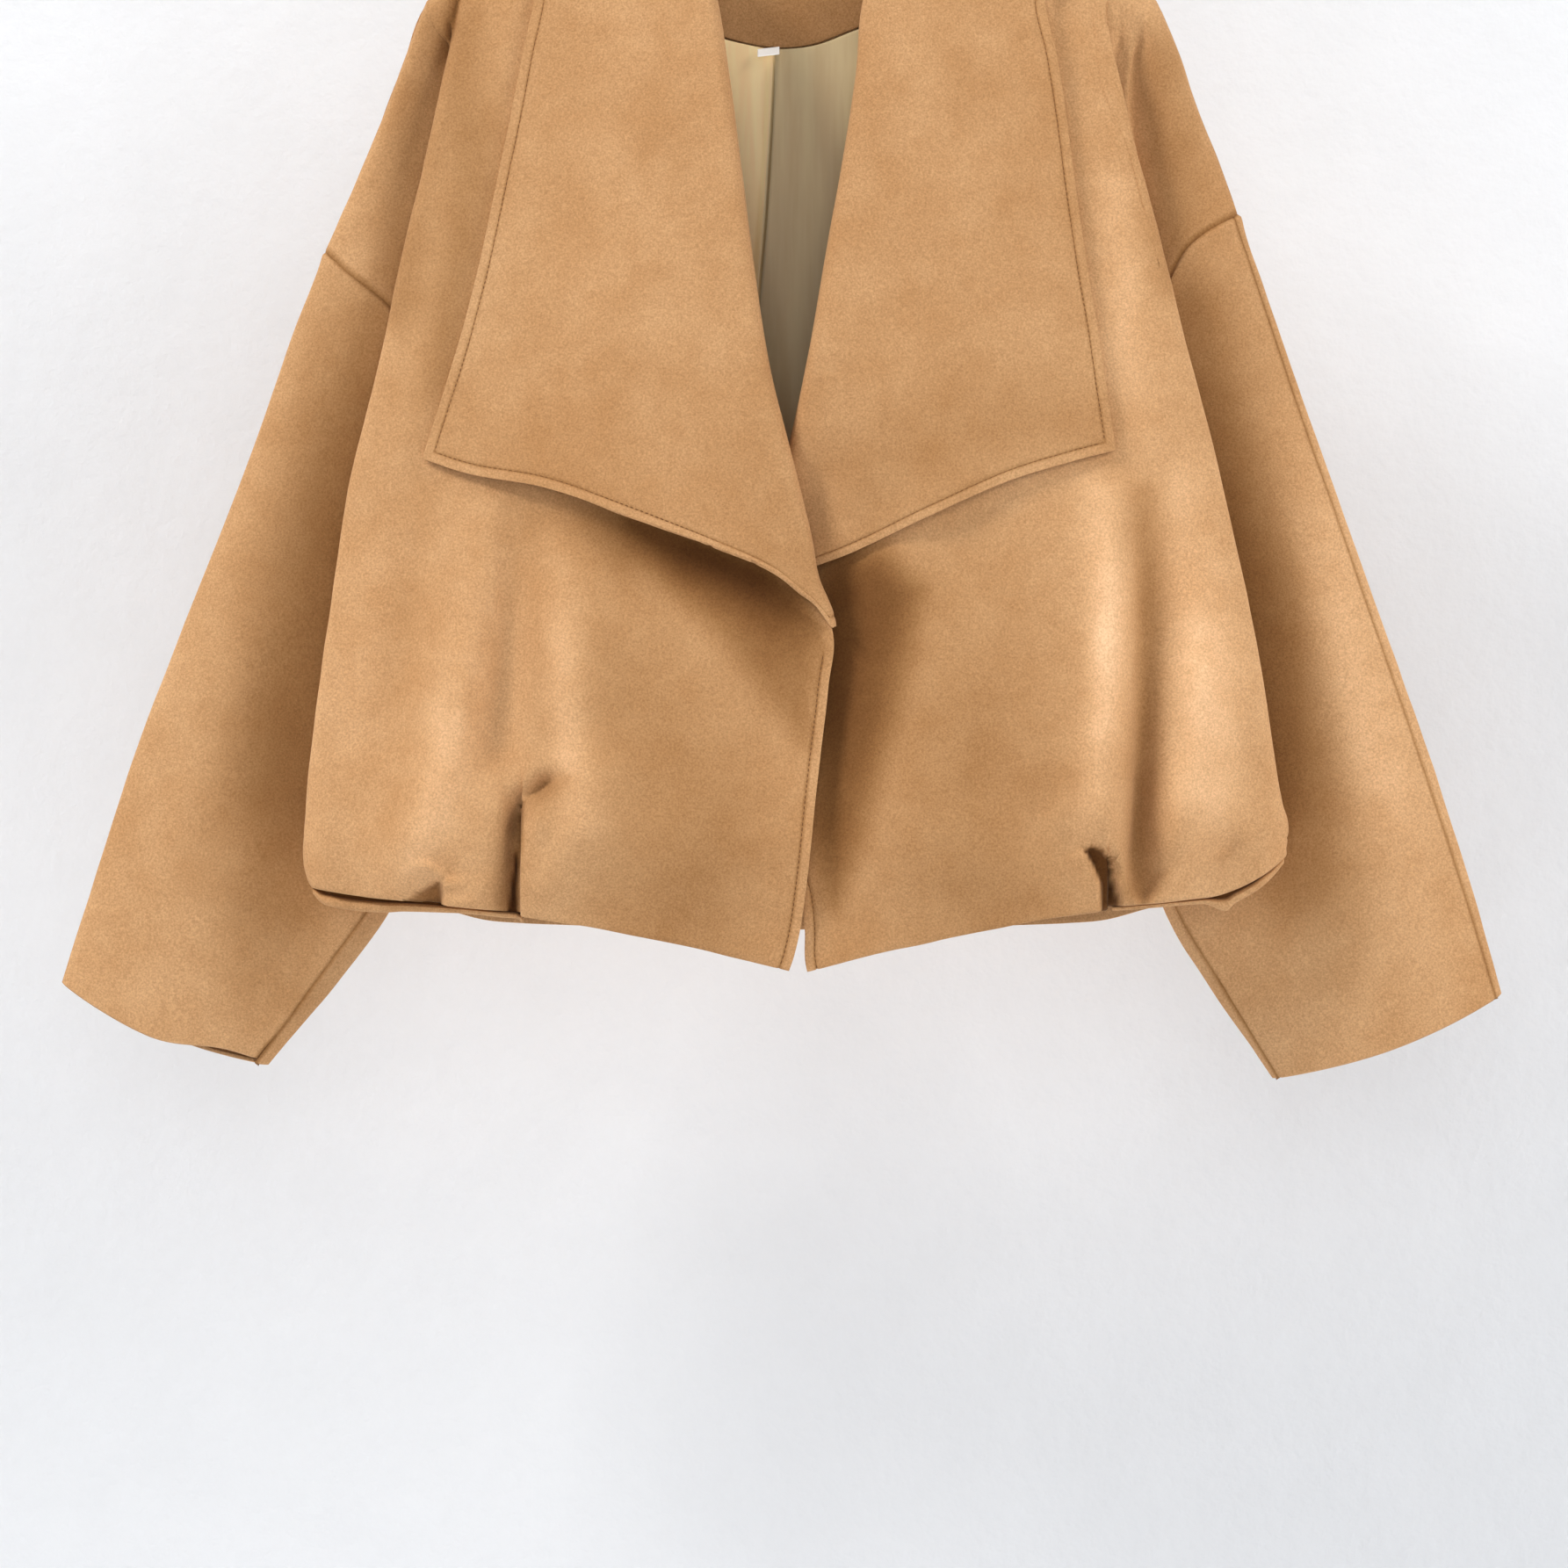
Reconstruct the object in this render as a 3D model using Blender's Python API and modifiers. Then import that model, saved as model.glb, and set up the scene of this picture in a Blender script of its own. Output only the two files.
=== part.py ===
"""A short wrap coat in faux suede on a wall hanger: thin walls of cloth, in metres, +Z up.

The origin is where the hook hangs. Form functions work in millimetres: x to the right, drop
downwards from the origin, y towards the wall. Every panel is a grid of points: rows run down the
garment and columns run across it, round its folds.
"""

import math

import bmesh
import bpy
import numpy as np
from mathutils import Vector

MM = 0.001
CLOTH = 2.0
COLLAR_CLOTH = 2.6
SEAM = 0.35
LEFT, RIGHT = -1, 1

# Shoulder line, the same on both sides: it lies on the hanger's arms.
NECK_X, NECK_DROP = 80.0, 84.0
ARM_END_X, ARM_END_DROP = 206.0, 117.0
ARM_RADIUS, ARM_CLEARANCE, ARM_REACH = 6.2, 0.6, 198.0
SHOULDER_SLOPE = (ARM_END_DROP - NECK_DROP) / (ARM_END_X - NECK_X)
CENTRE_BACK_NECK_DROP = 92.0

# Roll line of the revers, then the front edge below it: drop, x.
LEFT_EDGE = [
    (84, -78), (110, -62), (135, -48.6), (189, -40.5), (270, -29.7), (351, -18.9), (394, -8.1),
    (437, 1.6), (484, 14), (508, 20), (523, 24), (567, 20), (621, 13.8), (674, 8.5), (714, 2.7), (731, -2.7),
]
RIGHT_EDGE = [
    (84, 78), (110, 58), (135, 43.2), (189, 37.8), (254, 27), (329, 13.5), (389, 2.7),
    (440, -12), (505, -30), (545, -34), (600, -24), (660, -6), (693, 5), (714, 4), (731, 6),
]
# Outermost line of the body, where the front folds back over the sleeve: drop, reach from the centre.
LEFT_FOLD = [
    (117, 206), (135, 207), (178, 216.5), (216, 224.3), (255, 233.4), (315, 246.5), (340, 251.7),
    (432, 272.7), (540, 289), (599, 297), (653, 301), (672, 299), (684, 293), (700, 290),
]
RIGHT_FOLD = [
    (117, 204), (135, 200), (189, 203), (234, 212.8), (284, 225.2), (329, 235.2), (432, 262),
    (540, 284.6), (610, 294.3), (656, 301), (668, 298), (684, 289), (700, 286),
]
# Armhole seam from the shoulder's tip, then the side seam below the underarm: drop, reach.
LEFT_SIDE = [
    (287, 290.5), (300, 277), (321, 251), (350, 229), (400, 202), (440, 187), (470, 180),
    (500, 182), (560, 203), (630, 238), (690, 262), (704, 264),
]
RIGHT_SIDE = [
    (264, 273.6), (273, 257.6), (284, 243), (305, 231), (350, 212), (400, 194), (440, 184), (470, 180),
    (500, 182), (560, 203), (630, 238), (690, 262), (704, 264),
]
SHOULDER_TIP = {LEFT: (290.5, 287.0), RIGHT: (273.6, 264.0)}
# Half depth of the body in front and behind, at the centre: drop, front, back.
DEPTH = [
    (84, 10, 9), (117, 15, 12), (185, 29, 20), (285, 41, 25), (435, 55, 29), (585, 67, 32),
    (650, 73, 34), (700, 66, 33), (735, 62, 32),
]
# Each row of a front: the drop where it meets the front edge, the side fold and the armhole or side seam.
FRONT_ROWS = [
    (84, 117, 0.0), (84.2, 117.2, 0.001), (86.2, 119.2, 0.01), (91.5, 124.5, 0.03), (108, 137, 0.07),
    (135, 153, 0.12), (182, 190, 0.25), (236, 234, 0.42), (298, 290, 0.62), (362, 350, 0.80),
    (420, 410, 0.93), (464, 452, 1.0), (494, 486, 1.08), (522.5, 517, 1.22), (560, 556, 1.39),
    (598, 590, 1.54), (628, 613, 1.64), (655, 632, 1.73), (681, 650, 1.81), (705, 666, 1.89),
    (722, 677, 1.96), (730, 684, 2.0),
]
UNDERARM_ROW = 11
# How far the right front lies behind the left one, near the centre: drop, setback.
UNDERLAP = [(380, 0), (450, 17), (540, 17), (640, 9), (700, 5), (735, 4)]
UNDERLAP_END, UNDERLAP_WIDTH = 62.0, 40.0
# Broad folds of the fronts, seen from the front: x, drop at the top, x, drop at the foot, width, height.
LEFT_FOLDS = [
    (-194, 459, -214, 553, 24, 7), (-214, 553, -238, 680, 20, 9), (-138, 475, -141, 592, 22, 6),
    (-129, 614, -160, 694, 20, 6), (-222, 470, -262, 600, 22, -5), (-168, 480, -178, 600, 20, -5),
    (-60, 500, -70, 700, 34, 4), (-152, 612, -142, 626, 9, 4),
]
RIGHT_FOLDS = [
    (194, 459, 190, 570, 22, 7), (190, 570, 181, 650, 20, 8), (217, 470, 214, 600, 14, -7),
    (248, 540, 240, 655, 22, 7), (214, 600, 211, 694, 10, -9), (158, 600, 146, 660, 12, -3),
    (90, 520, 100, 700, 34, 4), (262, 652, 226, 672, 12, -3),
]
# Knife pleat in each hem: its edge's reach, where it starts and is full, its depth.
PLEAT = {LEFT: (166.0, 604.0, 640.0, 15.0), RIGHT: (190.0, 646.0, 672.0, 12.0)}

COLOURS = {
    "suede": (0.58, 0.36, 0.18), "satin": (0.45, 0.33, 0.20), "label": (0.86, 0.85, 0.82),
    "wood": (0.50, 0.32, 0.18), "steel": (0.62, 0.62, 0.63),
}
ROUGHNESS = {"suede": 0.95, "satin": 0.35, "label": 0.6, "wood": 0.6, "steel": 0.3}


def clear_scene():
    for thing in list(bpy.data.objects):
        bpy.data.objects.remove(thing, do_unlink=True)


def ease(value):
    value = min(1.0, max(0.0, value))
    return value * value * (3 - 2 * value)


def along(table, at, column=1):
    """Value of a table's column at a place in its first column, on a smooth curve through its rows."""
    places = [row[0] for row in table]
    values = [row[column] for row in table]
    at = min(max(at, places[0]), places[-1])
    i = min(max(int(np.searchsorted(places, at, side="right")) - 1, 0), len(places) - 2)
    span = places[i + 1] - places[i]

    def slope(k):
        before, after = max(k - 1, 0), min(k + 1, len(places) - 1)
        return (values[after] - values[before]) / (places[after] - places[before])

    t = (at - places[i]) / span
    stay, go = 2 * t**3 - 3 * t**2 + 1, -2 * t**3 + 3 * t**2
    pull, push = t**3 - 2 * t**2 + t, t**3 - t**2
    return stay * values[i] + go * values[i + 1] + span * (pull * slope(i) + push * slope(i + 1))


def mix(a, b, share):
    return a + (b - a) * share


def shoulder_drop(reach):
    return NECK_DROP + (reach - NECK_X) * SHOULDER_SLOPE


def side_tables(side):
    if side == LEFT:
        return LEFT_EDGE, LEFT_FOLD, LEFT_SIDE, LEFT_FOLDS
    return RIGHT_EDGE, RIGHT_FOLD, RIGHT_SIDE, RIGHT_FOLDS


def relief(folds, x, drop):
    """Height of the broad folds here, as soft ridges that fade at both ends."""
    height = 0.0
    for x0, drop0, x1, drop1, width, tall in folds:
        run = Vector((x1 - x0, drop1 - drop0))
        here = Vector((x - x0, drop - drop0))
        share = here.dot(run) / run.length_squared
        off = (here - run * share).length / width
        fade = ease((share + 0.25) / 0.4) * ease((1.2 - share) / 0.4)
        height += tall * fade * math.exp(-off * off)
    return height


def front_y(side, x, drop):
    """The front's outer form without its pleat: rounded across, fullest just above the hem."""
    reach = along(side_tables(side)[1], max(drop, ARM_END_DROP))
    share = min(1.0, abs(x) / reach)
    y = -along(DEPTH, drop) * (1 - 0.45 * share**3) - relief(side_tables(side)[3], x, drop)
    if side == RIGHT:
        y += along(UNDERLAP, drop) * ease((UNDERLAP_END - x) / UNDERLAP_WIDTH)
    return y


# Shoulder seam beyond the hanger's end, to the shoulder's tip: drop, left reach, right reach.
SHOULDER_EDGE = {
    LEFT: [(117, 206), (124, 218), (135, 229), (164, 240), (206, 255.7), (247, 272.7), (287, 290.5)],
    RIGHT: [(117, 204), (124, 215), (135, 225), (158, 235), (204, 251), (249, 268.7), (264, 273.6)],
}
# Inner turn of the side fold above the underarm: drop, reach.
INNER_TURN = [(117, 204), (135, 202), (178, 204), (250, 209), (321, 202), (380, 190), (450, 176)]
UNDERARM_DROP, HEM_SEAM_DROP = 470.0, 690.0
SEAM_Y = [(470, -15), (500, -12), (600, -11), (704, -10)]
FOLD_RADIUS = [(117, 5), (540, 5), (600, 8), (650, 12), (700, 12)]
INNER_RADIUS = 3.4
OVER_ARM_Y = (-0.3, -2.6, -6.0, -8.9)
BEFORE_PLEAT = (0, 0.16, 0.38, 0.60, 0.82)
AFTER_PLEAT = (0.24, 0.5, 0.76)
ON_SHOULDER = (0.25, 0.5, 0.75, 1.0)
# Stations through a pleat: reach from its edge and y when flat, then the same when folded.
PLEAT_STATIONS = [
    (-6, 0, -3, 0), (-2, 0, 0, 1.8), (2, 0, "in", 5.0), (6, 0, "turn", 7.4),
    (10, 0, "in", 9.8), (14, 0, 4, 9.0), (19, 0, 13, 0),
]
FLAT_FALL = 2.4
HIDDEN_STATIONS = 4


def side_place(side, share):
    """Reach, drop and y on the armhole (share 0 to 1) and then down the side seam (1 to 2)."""
    tip = SHOULDER_TIP[side][1]
    if share <= 1:
        drop = mix(tip, UNDERARM_DROP, share)
        y = mix(OVER_ARM_Y[0], -8, min(1, share / 0.12) ** 0.35) - 7 * ease((share - 0.3) / 0.7)
    else:
        drop = mix(UNDERARM_DROP, HEM_SEAM_DROP, share - 1)
        y = along(SEAM_Y, drop)
    return along(side_tables(side)[2], drop), drop, y


def roll_radius(side, drop):
    return along(ROLL_RADIUS[side], drop)


def pleat_points(side, drop_at, fold_reach):
    edge, start, full, deep = PLEAT[side]
    points = []
    for flat, flat_y, folded, folded_y in PLEAT_STATIONS:
        offset = {"in": 2.2 - deep, "turn": -deep}.get(folded, folded)
        drop = drop_at(side * (edge + flat) / (side * fold_reach))
        share = ease((drop - start) / (full - start))
        reach = edge + mix(flat, offset, share)
        y = front_y(side, side * (edge + mix(flat, max(offset, 0), share)), drop)
        points.append((side * reach, y + mix(flat_y, folded_y, share), drop))
    return points


def front_row(side, row):
    """One row of a front, from its front edge round the side fold to the armhole or side seam."""
    edge_drop, fold_drop, side_share = FRONT_ROWS[row]
    edge_table, fold_table, _, _ = side_tables(side)
    beside_roll = side * (roll_radius(side, edge_drop) + ROLL_GAP)
    edge_x = along(edge_table, edge_drop) + beside_roll * ease((edge_drop - 95) / 35)
    fold_reach = along(fold_table, fold_drop)
    curve_power = 1 + 0.6 * ease((fold_drop - 380) / 300)

    def drop_at(share):
        return mix(edge_drop, fold_drop, 1 - (1 - max(0.0, share)) ** curve_power)

    def skin(x, drop):
        y = front_y(side, x, drop)
        return OVER_ARM_Y[row] if row < len(OVER_ARM_Y) else y

    pleat_reach = PLEAT[side][0]
    points = []
    first = pleat_reach + PLEAT_STATIONS[0][0]
    for share in BEFORE_PLEAT:
        x = mix(edge_x, side * first, share)
        drop = drop_at((x - edge_x) / (side * fold_reach - edge_x))
        points.append((x, skin(x, drop), drop))
    span = side * fold_reach - edge_x
    pleats = pleat_points(side, lambda s: drop_at((s * side * fold_reach - edge_x) / span), fold_reach)
    points += [(x, OVER_ARM_Y[row] if row < len(OVER_ARM_Y) else y, drop) for x, y, drop in pleats]
    last = pleat_reach + PLEAT_STATIONS[-1][0]
    for share in AFTER_PLEAT:
        x = side * mix(last, fold_reach, share)
        drop = drop_at((x - edge_x) / (side * fold_reach - edge_x))
        points.append((x, skin(x, drop), drop))
    points += side_fold(side, row, fold_reach, fold_drop, side_share)
    return points[:-1] + [pull(points[-1], points[-2], 0.3 * SEAM)]


def side_fold(side, row, fold_reach, fold_drop, side_share):
    """The stations round the side fold and on behind it, for one row."""
    radius = along(FOLD_RADIUS, fold_drop)
    folded = ease((fold_drop - ARM_END_DROP - 6) / 50)
    y1 = min(front_y(side, side * (fold_reach - radius), fold_drop), -14 * folded)
    y2 = y1 + 2 * radius
    out_reach, out_drop, out_y = side_place(side, side_share)
    turn = [(fold_reach - 0.9 * radius, y1), (fold_reach, y1 + radius), (fold_reach - 0.9 * radius, y2)]
    points = [(side * reach, y, fold_drop) for reach, y in turn]
    hidden = HIDDEN_STATIONS + len(ON_SHOULDER)
    if row > UNDERARM_ROW:
        start = Vector(points[-1])
        end = Vector((side * out_reach, out_y, out_drop))
        return points + [tuple(start.lerp(end, i / hidden)) for i in range(1, hidden + 1)]
    inner = along(INNER_TURN, fold_drop)
    y3 = y2 + 2 * INNER_RADIUS
    drop2 = mix(fold_drop, min(fold_drop + 12, UNDERARM_DROP - 4), folded)
    behind = [
        (mix(fold_reach - radius, inner + INNER_RADIUS, 0.5), y2), (inner + INNER_RADIUS, y2),
        (inner, y2 + INNER_RADIUS), (inner + INNER_RADIUS, y3),
    ]
    points += [(side * reach, y, drop2) for reach, y in behind]
    if folded < 1:
        seam_y = OVER_ARM_Y[min(row, 3)]
        spread = []
        for i in range(len(points)):
            drop = ARM_END_DROP + (i + 1) * FLAT_FALL
            spread.append((side * along(SHOULDER_EDGE[side], drop), seam_y, drop + fold_drop - ARM_END_DROP))
        points = [tuple(Vector(a).lerp(Vector(b), folded)) for a, b in zip(spread, points)]
    edge = SHOULDER_EDGE[side]
    base_drop = ARM_END_DROP + len(points) * FLAT_FALL
    base = Vector((side * along(edge, base_drop), OVER_ARM_Y[0], base_drop))
    tip = Vector((side * SHOULDER_TIP[side][0], OVER_ARM_Y[0], SHOULDER_TIP[side][1]))
    from_base = Vector(points[-1]) - base
    from_tip = Vector((side * out_reach, out_y, out_drop)) - tip
    for share in ON_SHOULDER:
        drop = mix(base_drop, tip.z, share)
        seam = Vector((side * along(edge, drop), OVER_ARM_Y[0], drop))
        points.append(tuple(seam + from_base * (1 - share) + from_tip * share))
    return points


CURL = 15.0


def curl_rows(rows, inward, amount):
    """Two more rows that turn the foot of a panel in and up, by an amount that varies across it."""
    foot = rows[-1]
    turned = []
    for out, lift in ((0.5, 0.0), (1.0, 0.34)):
        turned.append([
            (x + inward(i)[0] * amount(i) * out, y + inward(i)[1] * amount(i) * out,
             drop - 1.0 - amount(i) * lift)
            for i, (x, y, drop) in enumerate(foot)
        ])
    return rows + turned


def front_grid(side):
    rows = [front_row(side, row) for row in range(len(FRONT_ROWS))]
    foot = rows[-1]
    fold_first = len(foot) - 3 - HIDDEN_STATIONS - len(ON_SHOULDER)

    def inward(i):
        if i == fold_first + 1:
            return (-float(side), 0.0)
        return (0.0, 1.0) if i <= fold_first else (0.0, -1.0)

    def amount(i):
        reach = abs(foot[i][0])
        if i >= fold_first:
            return 8.0
        if reach < 230:
            return mix(4.4, CURL, ease((reach - 150) / 60))
        return mix(CURL, 8.0, ease((reach - 240) / 45))

    return curl_rows(rows, inward, amount)


BACK_ACROSS = (0, 0.12, 0.2, 0.25, 0.3, 0.44, 0.57, 0.65, 0.7375, 0.825, 0.9125, 1.0)
BACK_ROWS = (
    0, 0.0003, 0.0036, 0.0125, 0.035, 0.06, 0.125, 0.21, 0.31, 0.40, 0.5, 0.6, 0.7, 0.8, 0.88, 0.95, 1.0,
)
BACK_STRIPS = {"back_left": (0, 5), "back": (5, 17), "back_right": (17, 22)}
NECK_SHARES = (0, 0.12, 0.2, 0.25, 0.3)
NECK_SHARE = NECK_SHARES[-1]
BACK_HEM_DROP, BACK_HEM_DIP = 690.0, 10.0
# Half depth of the back at the armhole: share of the way from the shoulder's tip to the underarm, y.
BACK_ARMHOLE_Y = [(0.12, 8), (0.35, 13), (0.65, 11), (0.88, 4), (1, -3)]
NECKLINE = [(0, 92, 9.5), (40, 90.5, 9.2), (62, 86, 8.6), (71, 83, 6.3), (80, 84, 0.3)]
# Soft folds of the back: x, drop at the top, x, drop at the foot, width, height.
BACK_FOLDS = [
    (-120, 190, -150, 520, 26, 5), (110, 210, 150, 560, 24, 5),
    (-30, 330, -44, 660, 30, 4), (58, 420, 66, 680, 22, 5),
    (-150, 600, -146, 690, 16, -6), (140, 590, 138, 690, 16, -6),
]


def coons(top, foot, left, right, u, v):
    """Point of the patch between four edges: top and foot run with u, left and right with v."""
    rows = top(u) * (1 - v) + foot(u) * v
    columns = left(v) * (1 - u) + right(v) * u
    corners = (top(0) * (1 - u) + top(1) * u) * (1 - v) + (foot(0) * (1 - u) + foot(1) * u) * v
    return rows + columns - corners


def back_half(side):
    """Point functions of half the back, from its centre (u 0) to its side (u 1)."""
    def top(u):
        if u < NECK_SHARE:
            return Vector([float(np.interp(u, NECK_SHARES, column)) for column in list(zip(*NECKLINE))[:2]])
        turn = ARM_END_DROP + (3 + HIDDEN_STATIONS) * FLAT_FALL
        tip = SHOULDER_TIP[side][1]
        stops = [(NECK_SHARE, NECK_DROP), (0.57, ARM_END_DROP), (0.65, turn), (1, tip)]
        drop = float(np.interp(u, *zip(*stops)))
        if drop < ARM_END_DROP:
            return Vector((NECK_X + (drop - NECK_DROP) / SHOULDER_SLOPE, drop))
        return Vector((along(SHOULDER_EDGE[side], drop), drop))

    def foot(u):
        reach = along(side_tables(side)[2], BACK_HEM_DROP)
        return Vector((reach * u, BACK_HEM_DROP + BACK_HEM_DIP * (1 - u * u)))

    def centre(v):
        return Vector((0, mix(CENTRE_BACK_NECK_DROP, BACK_HEM_DROP + BACK_HEM_DIP, v)))

    def edge(v):
        reach, drop, _ = side_place(side, 2 * v)
        return Vector((reach, drop))

    return top, foot, centre, edge


def back_armhole_y(share):
    if share < BACK_ARMHOLE_Y[0][0]:
        return mix(-OVER_ARM_Y[0], BACK_ARMHOLE_Y[0][1], (share / BACK_ARMHOLE_Y[0][0]) ** 0.35)
    return along(BACK_ARMHOLE_Y, share)


def back_y(side, row, u, x, drop):
    v = BACK_ROWS[row]
    middle = along(DEPTH, drop, 2) + relief(BACK_FOLDS, x, drop)
    at_side = back_armhole_y(2 * v) if v <= 0.5 else side_place(side, 2 * v)[2]
    y = mix(middle, at_side, u ** (3.5 if v > 0.5 else 2.2))
    if row >= len(OVER_ARM_Y):
        return max(y, 9.4) if row == len(OVER_ARM_Y) and u < 0.6 else y
    at_neck = float(np.interp(u, NECK_SHARES, [y for _, _, y in NECKLINE])) if u < NECK_SHARE else 0
    return max(at_neck, min(-OVER_ARM_Y[row], max(at_side, mix(9, at_side, ease((u - 0.57) * 3)))))


def back_grid():
    rows = []
    for row, v in enumerate(BACK_ROWS):
        halves = {}
        for side in (LEFT, RIGHT):
            edges = back_half(side)
            halves[side] = []
            for u in BACK_ACROSS:
                reach, drop = coons(*edges, u, v)
                x = side * reach
                halves[side].append((x, back_y(side, row, u, x, drop), drop))
        rows.append(halves[LEFT][:0:-1] + halves[RIGHT])
    rows = curl_rows(rows, lambda i: (0.0, -1.0), lambda i: 9.0)
    return trim_sides(rows, 3 * SEAM)


def back_strip(name):
    """One of the back's three strips, so that each stays a simple curve for collision."""
    rows = back_grid()
    first, last = BACK_STRIPS[name]
    strip = [row[first : last + 1] for row in rows]
    if first > 0:
        strip = [[pull(row[0], row[1], 0.7 * SEAM)] + row[1:] for row in strip]
    if last < len(rows[0]) - 1:
        strip = [row[:-1] + [pull(row[-1], row[-2], 0.7 * SEAM)] for row in strip]
    return strip


def pull(point, towards, distance):
    point, towards = Vector(point), Vector(towards)
    return tuple(point + (towards - point).normalized() * distance)


def trim_sides(rows, gap):
    """The grid with its first and last columns drawn in, to leave a seam's gap."""
    return [[pull(row[0], row[1], gap)] + row[1:-1] + [pull(row[-1], row[-2], gap)] for row in rows]


def trim_top(rows, gap):
    return [[pull(a, b, gap) for a, b in zip(rows[0], rows[1])]] + rows[1:]


# Sleeves. Outer edge: drop, reach, y. Inner edge, from the underarm: drop, reach, y.
SLEEVE_OUTER = {
    LEFT: [(287, 290.5, 0), (349, 315, 5), (402, 333.7, 8), (457, 355, 10), (507, 374, 11), (566, 399, 11),
           (621, 417, 10), (740, 455, 8)],
    RIGHT: [(264, 273.6, 0), (333, 299, 5), (404, 324, 8), (473, 349, 10), (541, 373.7, 11), (620, 402, 11),
            (694, 424, 10), (747, 438.5, 8)],
}
SLEEVE_INNER = {
    LEFT: [(470, 190, -7), (490, 197, 3), (540, 211, 13), (620, 229, 15), (698, 253, 14), (745, 290, 12),
           (791, 328, 10)],
    RIGHT: [(470, 190, -7), (490, 196, 3), (540, 207, 13), (600, 216, 15), (640, 221, 15), (698, 232, 14),
            (750, 264, 12), (799, 298, 10)],
}
# Half thickness of a sleeve: share of its length, half thickness.
SLEEVE_HALF = [(0, 10), (0.15, 13), (0.4, 15), (0.7, 14), (1, 11)]
# The back half is fuller than the front one.
BACK_FULLER = 1.35
SLEEVE_TRIM = 1.35
CUFF_SAG, CUFF_STEP = 7.0, {LEFT: 6.0, RIGHT: 1.0}
SLEEVE_ACROSS = (0, 0.012, 0.05, 0.12, 0.26, 0.42, 0.60, 0.77, 0.89, 0.955, 0.988, 1)
SLEEVE_ROWS = (0, 0.04, 0.12, 0.24, 0.38, 0.53, 0.68, 0.84, 1)
ELBOW_ROW = 5
# Soft folds of the sleeves' fronts: x, drop at the top, x, drop at the foot, width, height.
SLEEVE_FOLDS = [(-330, 430, -372, 640, 20, 3), (-300, 640, -330, 760, 22, -2), (322, 420, 352, 600, 20, 3),
                (330, 640, 352, 770, 24, 2)]


def sleeve_point(side, s, v, face):
    """Point of a sleeve: s from its outer to its inner edge, v from armhole to cuff, face -1 in front."""
    outer, inner = SLEEVE_OUTER[side], SLEEVE_INNER[side]
    tip, cuff = SHOULDER_TIP[side][1], outer[-1][0]

    def armhole(s):
        reach, drop, _ = side_place(side, s)
        return Vector((reach, drop))

    def outer_edge(v):
        drop = mix(tip, cuff, v)
        return Vector((along(outer, drop), drop))

    def inner_edge(v):
        drop = mix(UNDERARM_DROP, inner[-1][0], v)
        return Vector((along(inner, drop), drop))

    def cuff_edge(s):
        start, end = outer_edge(1), inner_edge(1)
        run = end - start
        down = Vector((-run.y, run.x)) if run.x > 0 else Vector((run.y, -run.x))
        sag = CUFF_SAG * 4 * s * (1 - s)
        short = CUFF_STEP[side] * ease((s - 0.45) / 0.4) if face < 0 else 0
        return start + run * s + Vector((sag * 0.35, sag)) - Vector((0, short))

    reach, drop = coons(armhole, cuff_edge, outer_edge, inner_edge, s, v)
    middle = mix(along(outer, mix(tip, cuff, v), 2), along(inner, mix(UNDERARM_DROP, inner[-1][0], v), 2), s)
    swell = along(SLEEVE_HALF, v) * math.sqrt(max(0.0, 4 * s * (1 - s)))
    if face < 0:
        tube = middle - swell - relief(SLEEVE_FOLDS, side * reach, drop)
        at_armhole = side_place(side, s)[2] + 3 * ease((s - 0.7) / 0.3)
    else:
        tube = middle + swell * BACK_FULLER
        at_armhole = back_armhole_y(s)
    return (side * reach, mix(at_armhole, tube, ease(v / 0.16)), drop)


def sleeve_grid(side, face, part):
    """The front or back half of a sleeve's upper part or forearm, between the tube's two edges."""
    rows = [[sleeve_point(side, s, v, face) for s in SLEEVE_ACROSS] for v in SLEEVE_ROWS]
    rows = trim_top(trim_sides(rows, SLEEVE_TRIM), 2 * SEAM)
    if part == "forearm":
        return trim_top(rows[ELBOW_ROW:], SEAM / 2)
    return trim_top(rows[: ELBOW_ROW + 1][::-1], SEAM / 2)[::-1]


ROLL_GAP = 1.0
# Radius of the roll where a front turns back as its revers: drop, radius. Below, the edge is plain.
ROLL_RADIUS = {
    LEFT: [(84, 5), (250, 6.5), (400, 6), (480, 4.6), (523, 2.6), (532, 0.2), (740, 0.2)],
    RIGHT: [(84, 5), (250, 6), (400, 5), (470, 4), (505, 2.6), (515, 0.2), (740, 0.2)],
}
# The collar from centre back: seam to the neck x, drop, y; fold x, drop, y; outer edge x, drop, y.
COLLAR = [
    (0.3, 91.2, 9.6, 0.3, 40, 21, 0.3, 142, 22), (26, 90.6, 9.6, 26, 41, 20, 46, 141, 21.5),
    (52, 87.4, 9.2, 48, 46, 15, 92, 134, 19.5), (66, 83.4, 7.6, 64, 56, 6, 131, 116, 19),
    (76.5, 81.4, 1, 69, 68, -4, 153, 96.5, 6), (72.2, 88, -9, 65, 88, -17, 158, 105.5, -10.8),
    (61.5, 101, -12.5, 55, 112, -22, 160, 120, -15.5),
]
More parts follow.
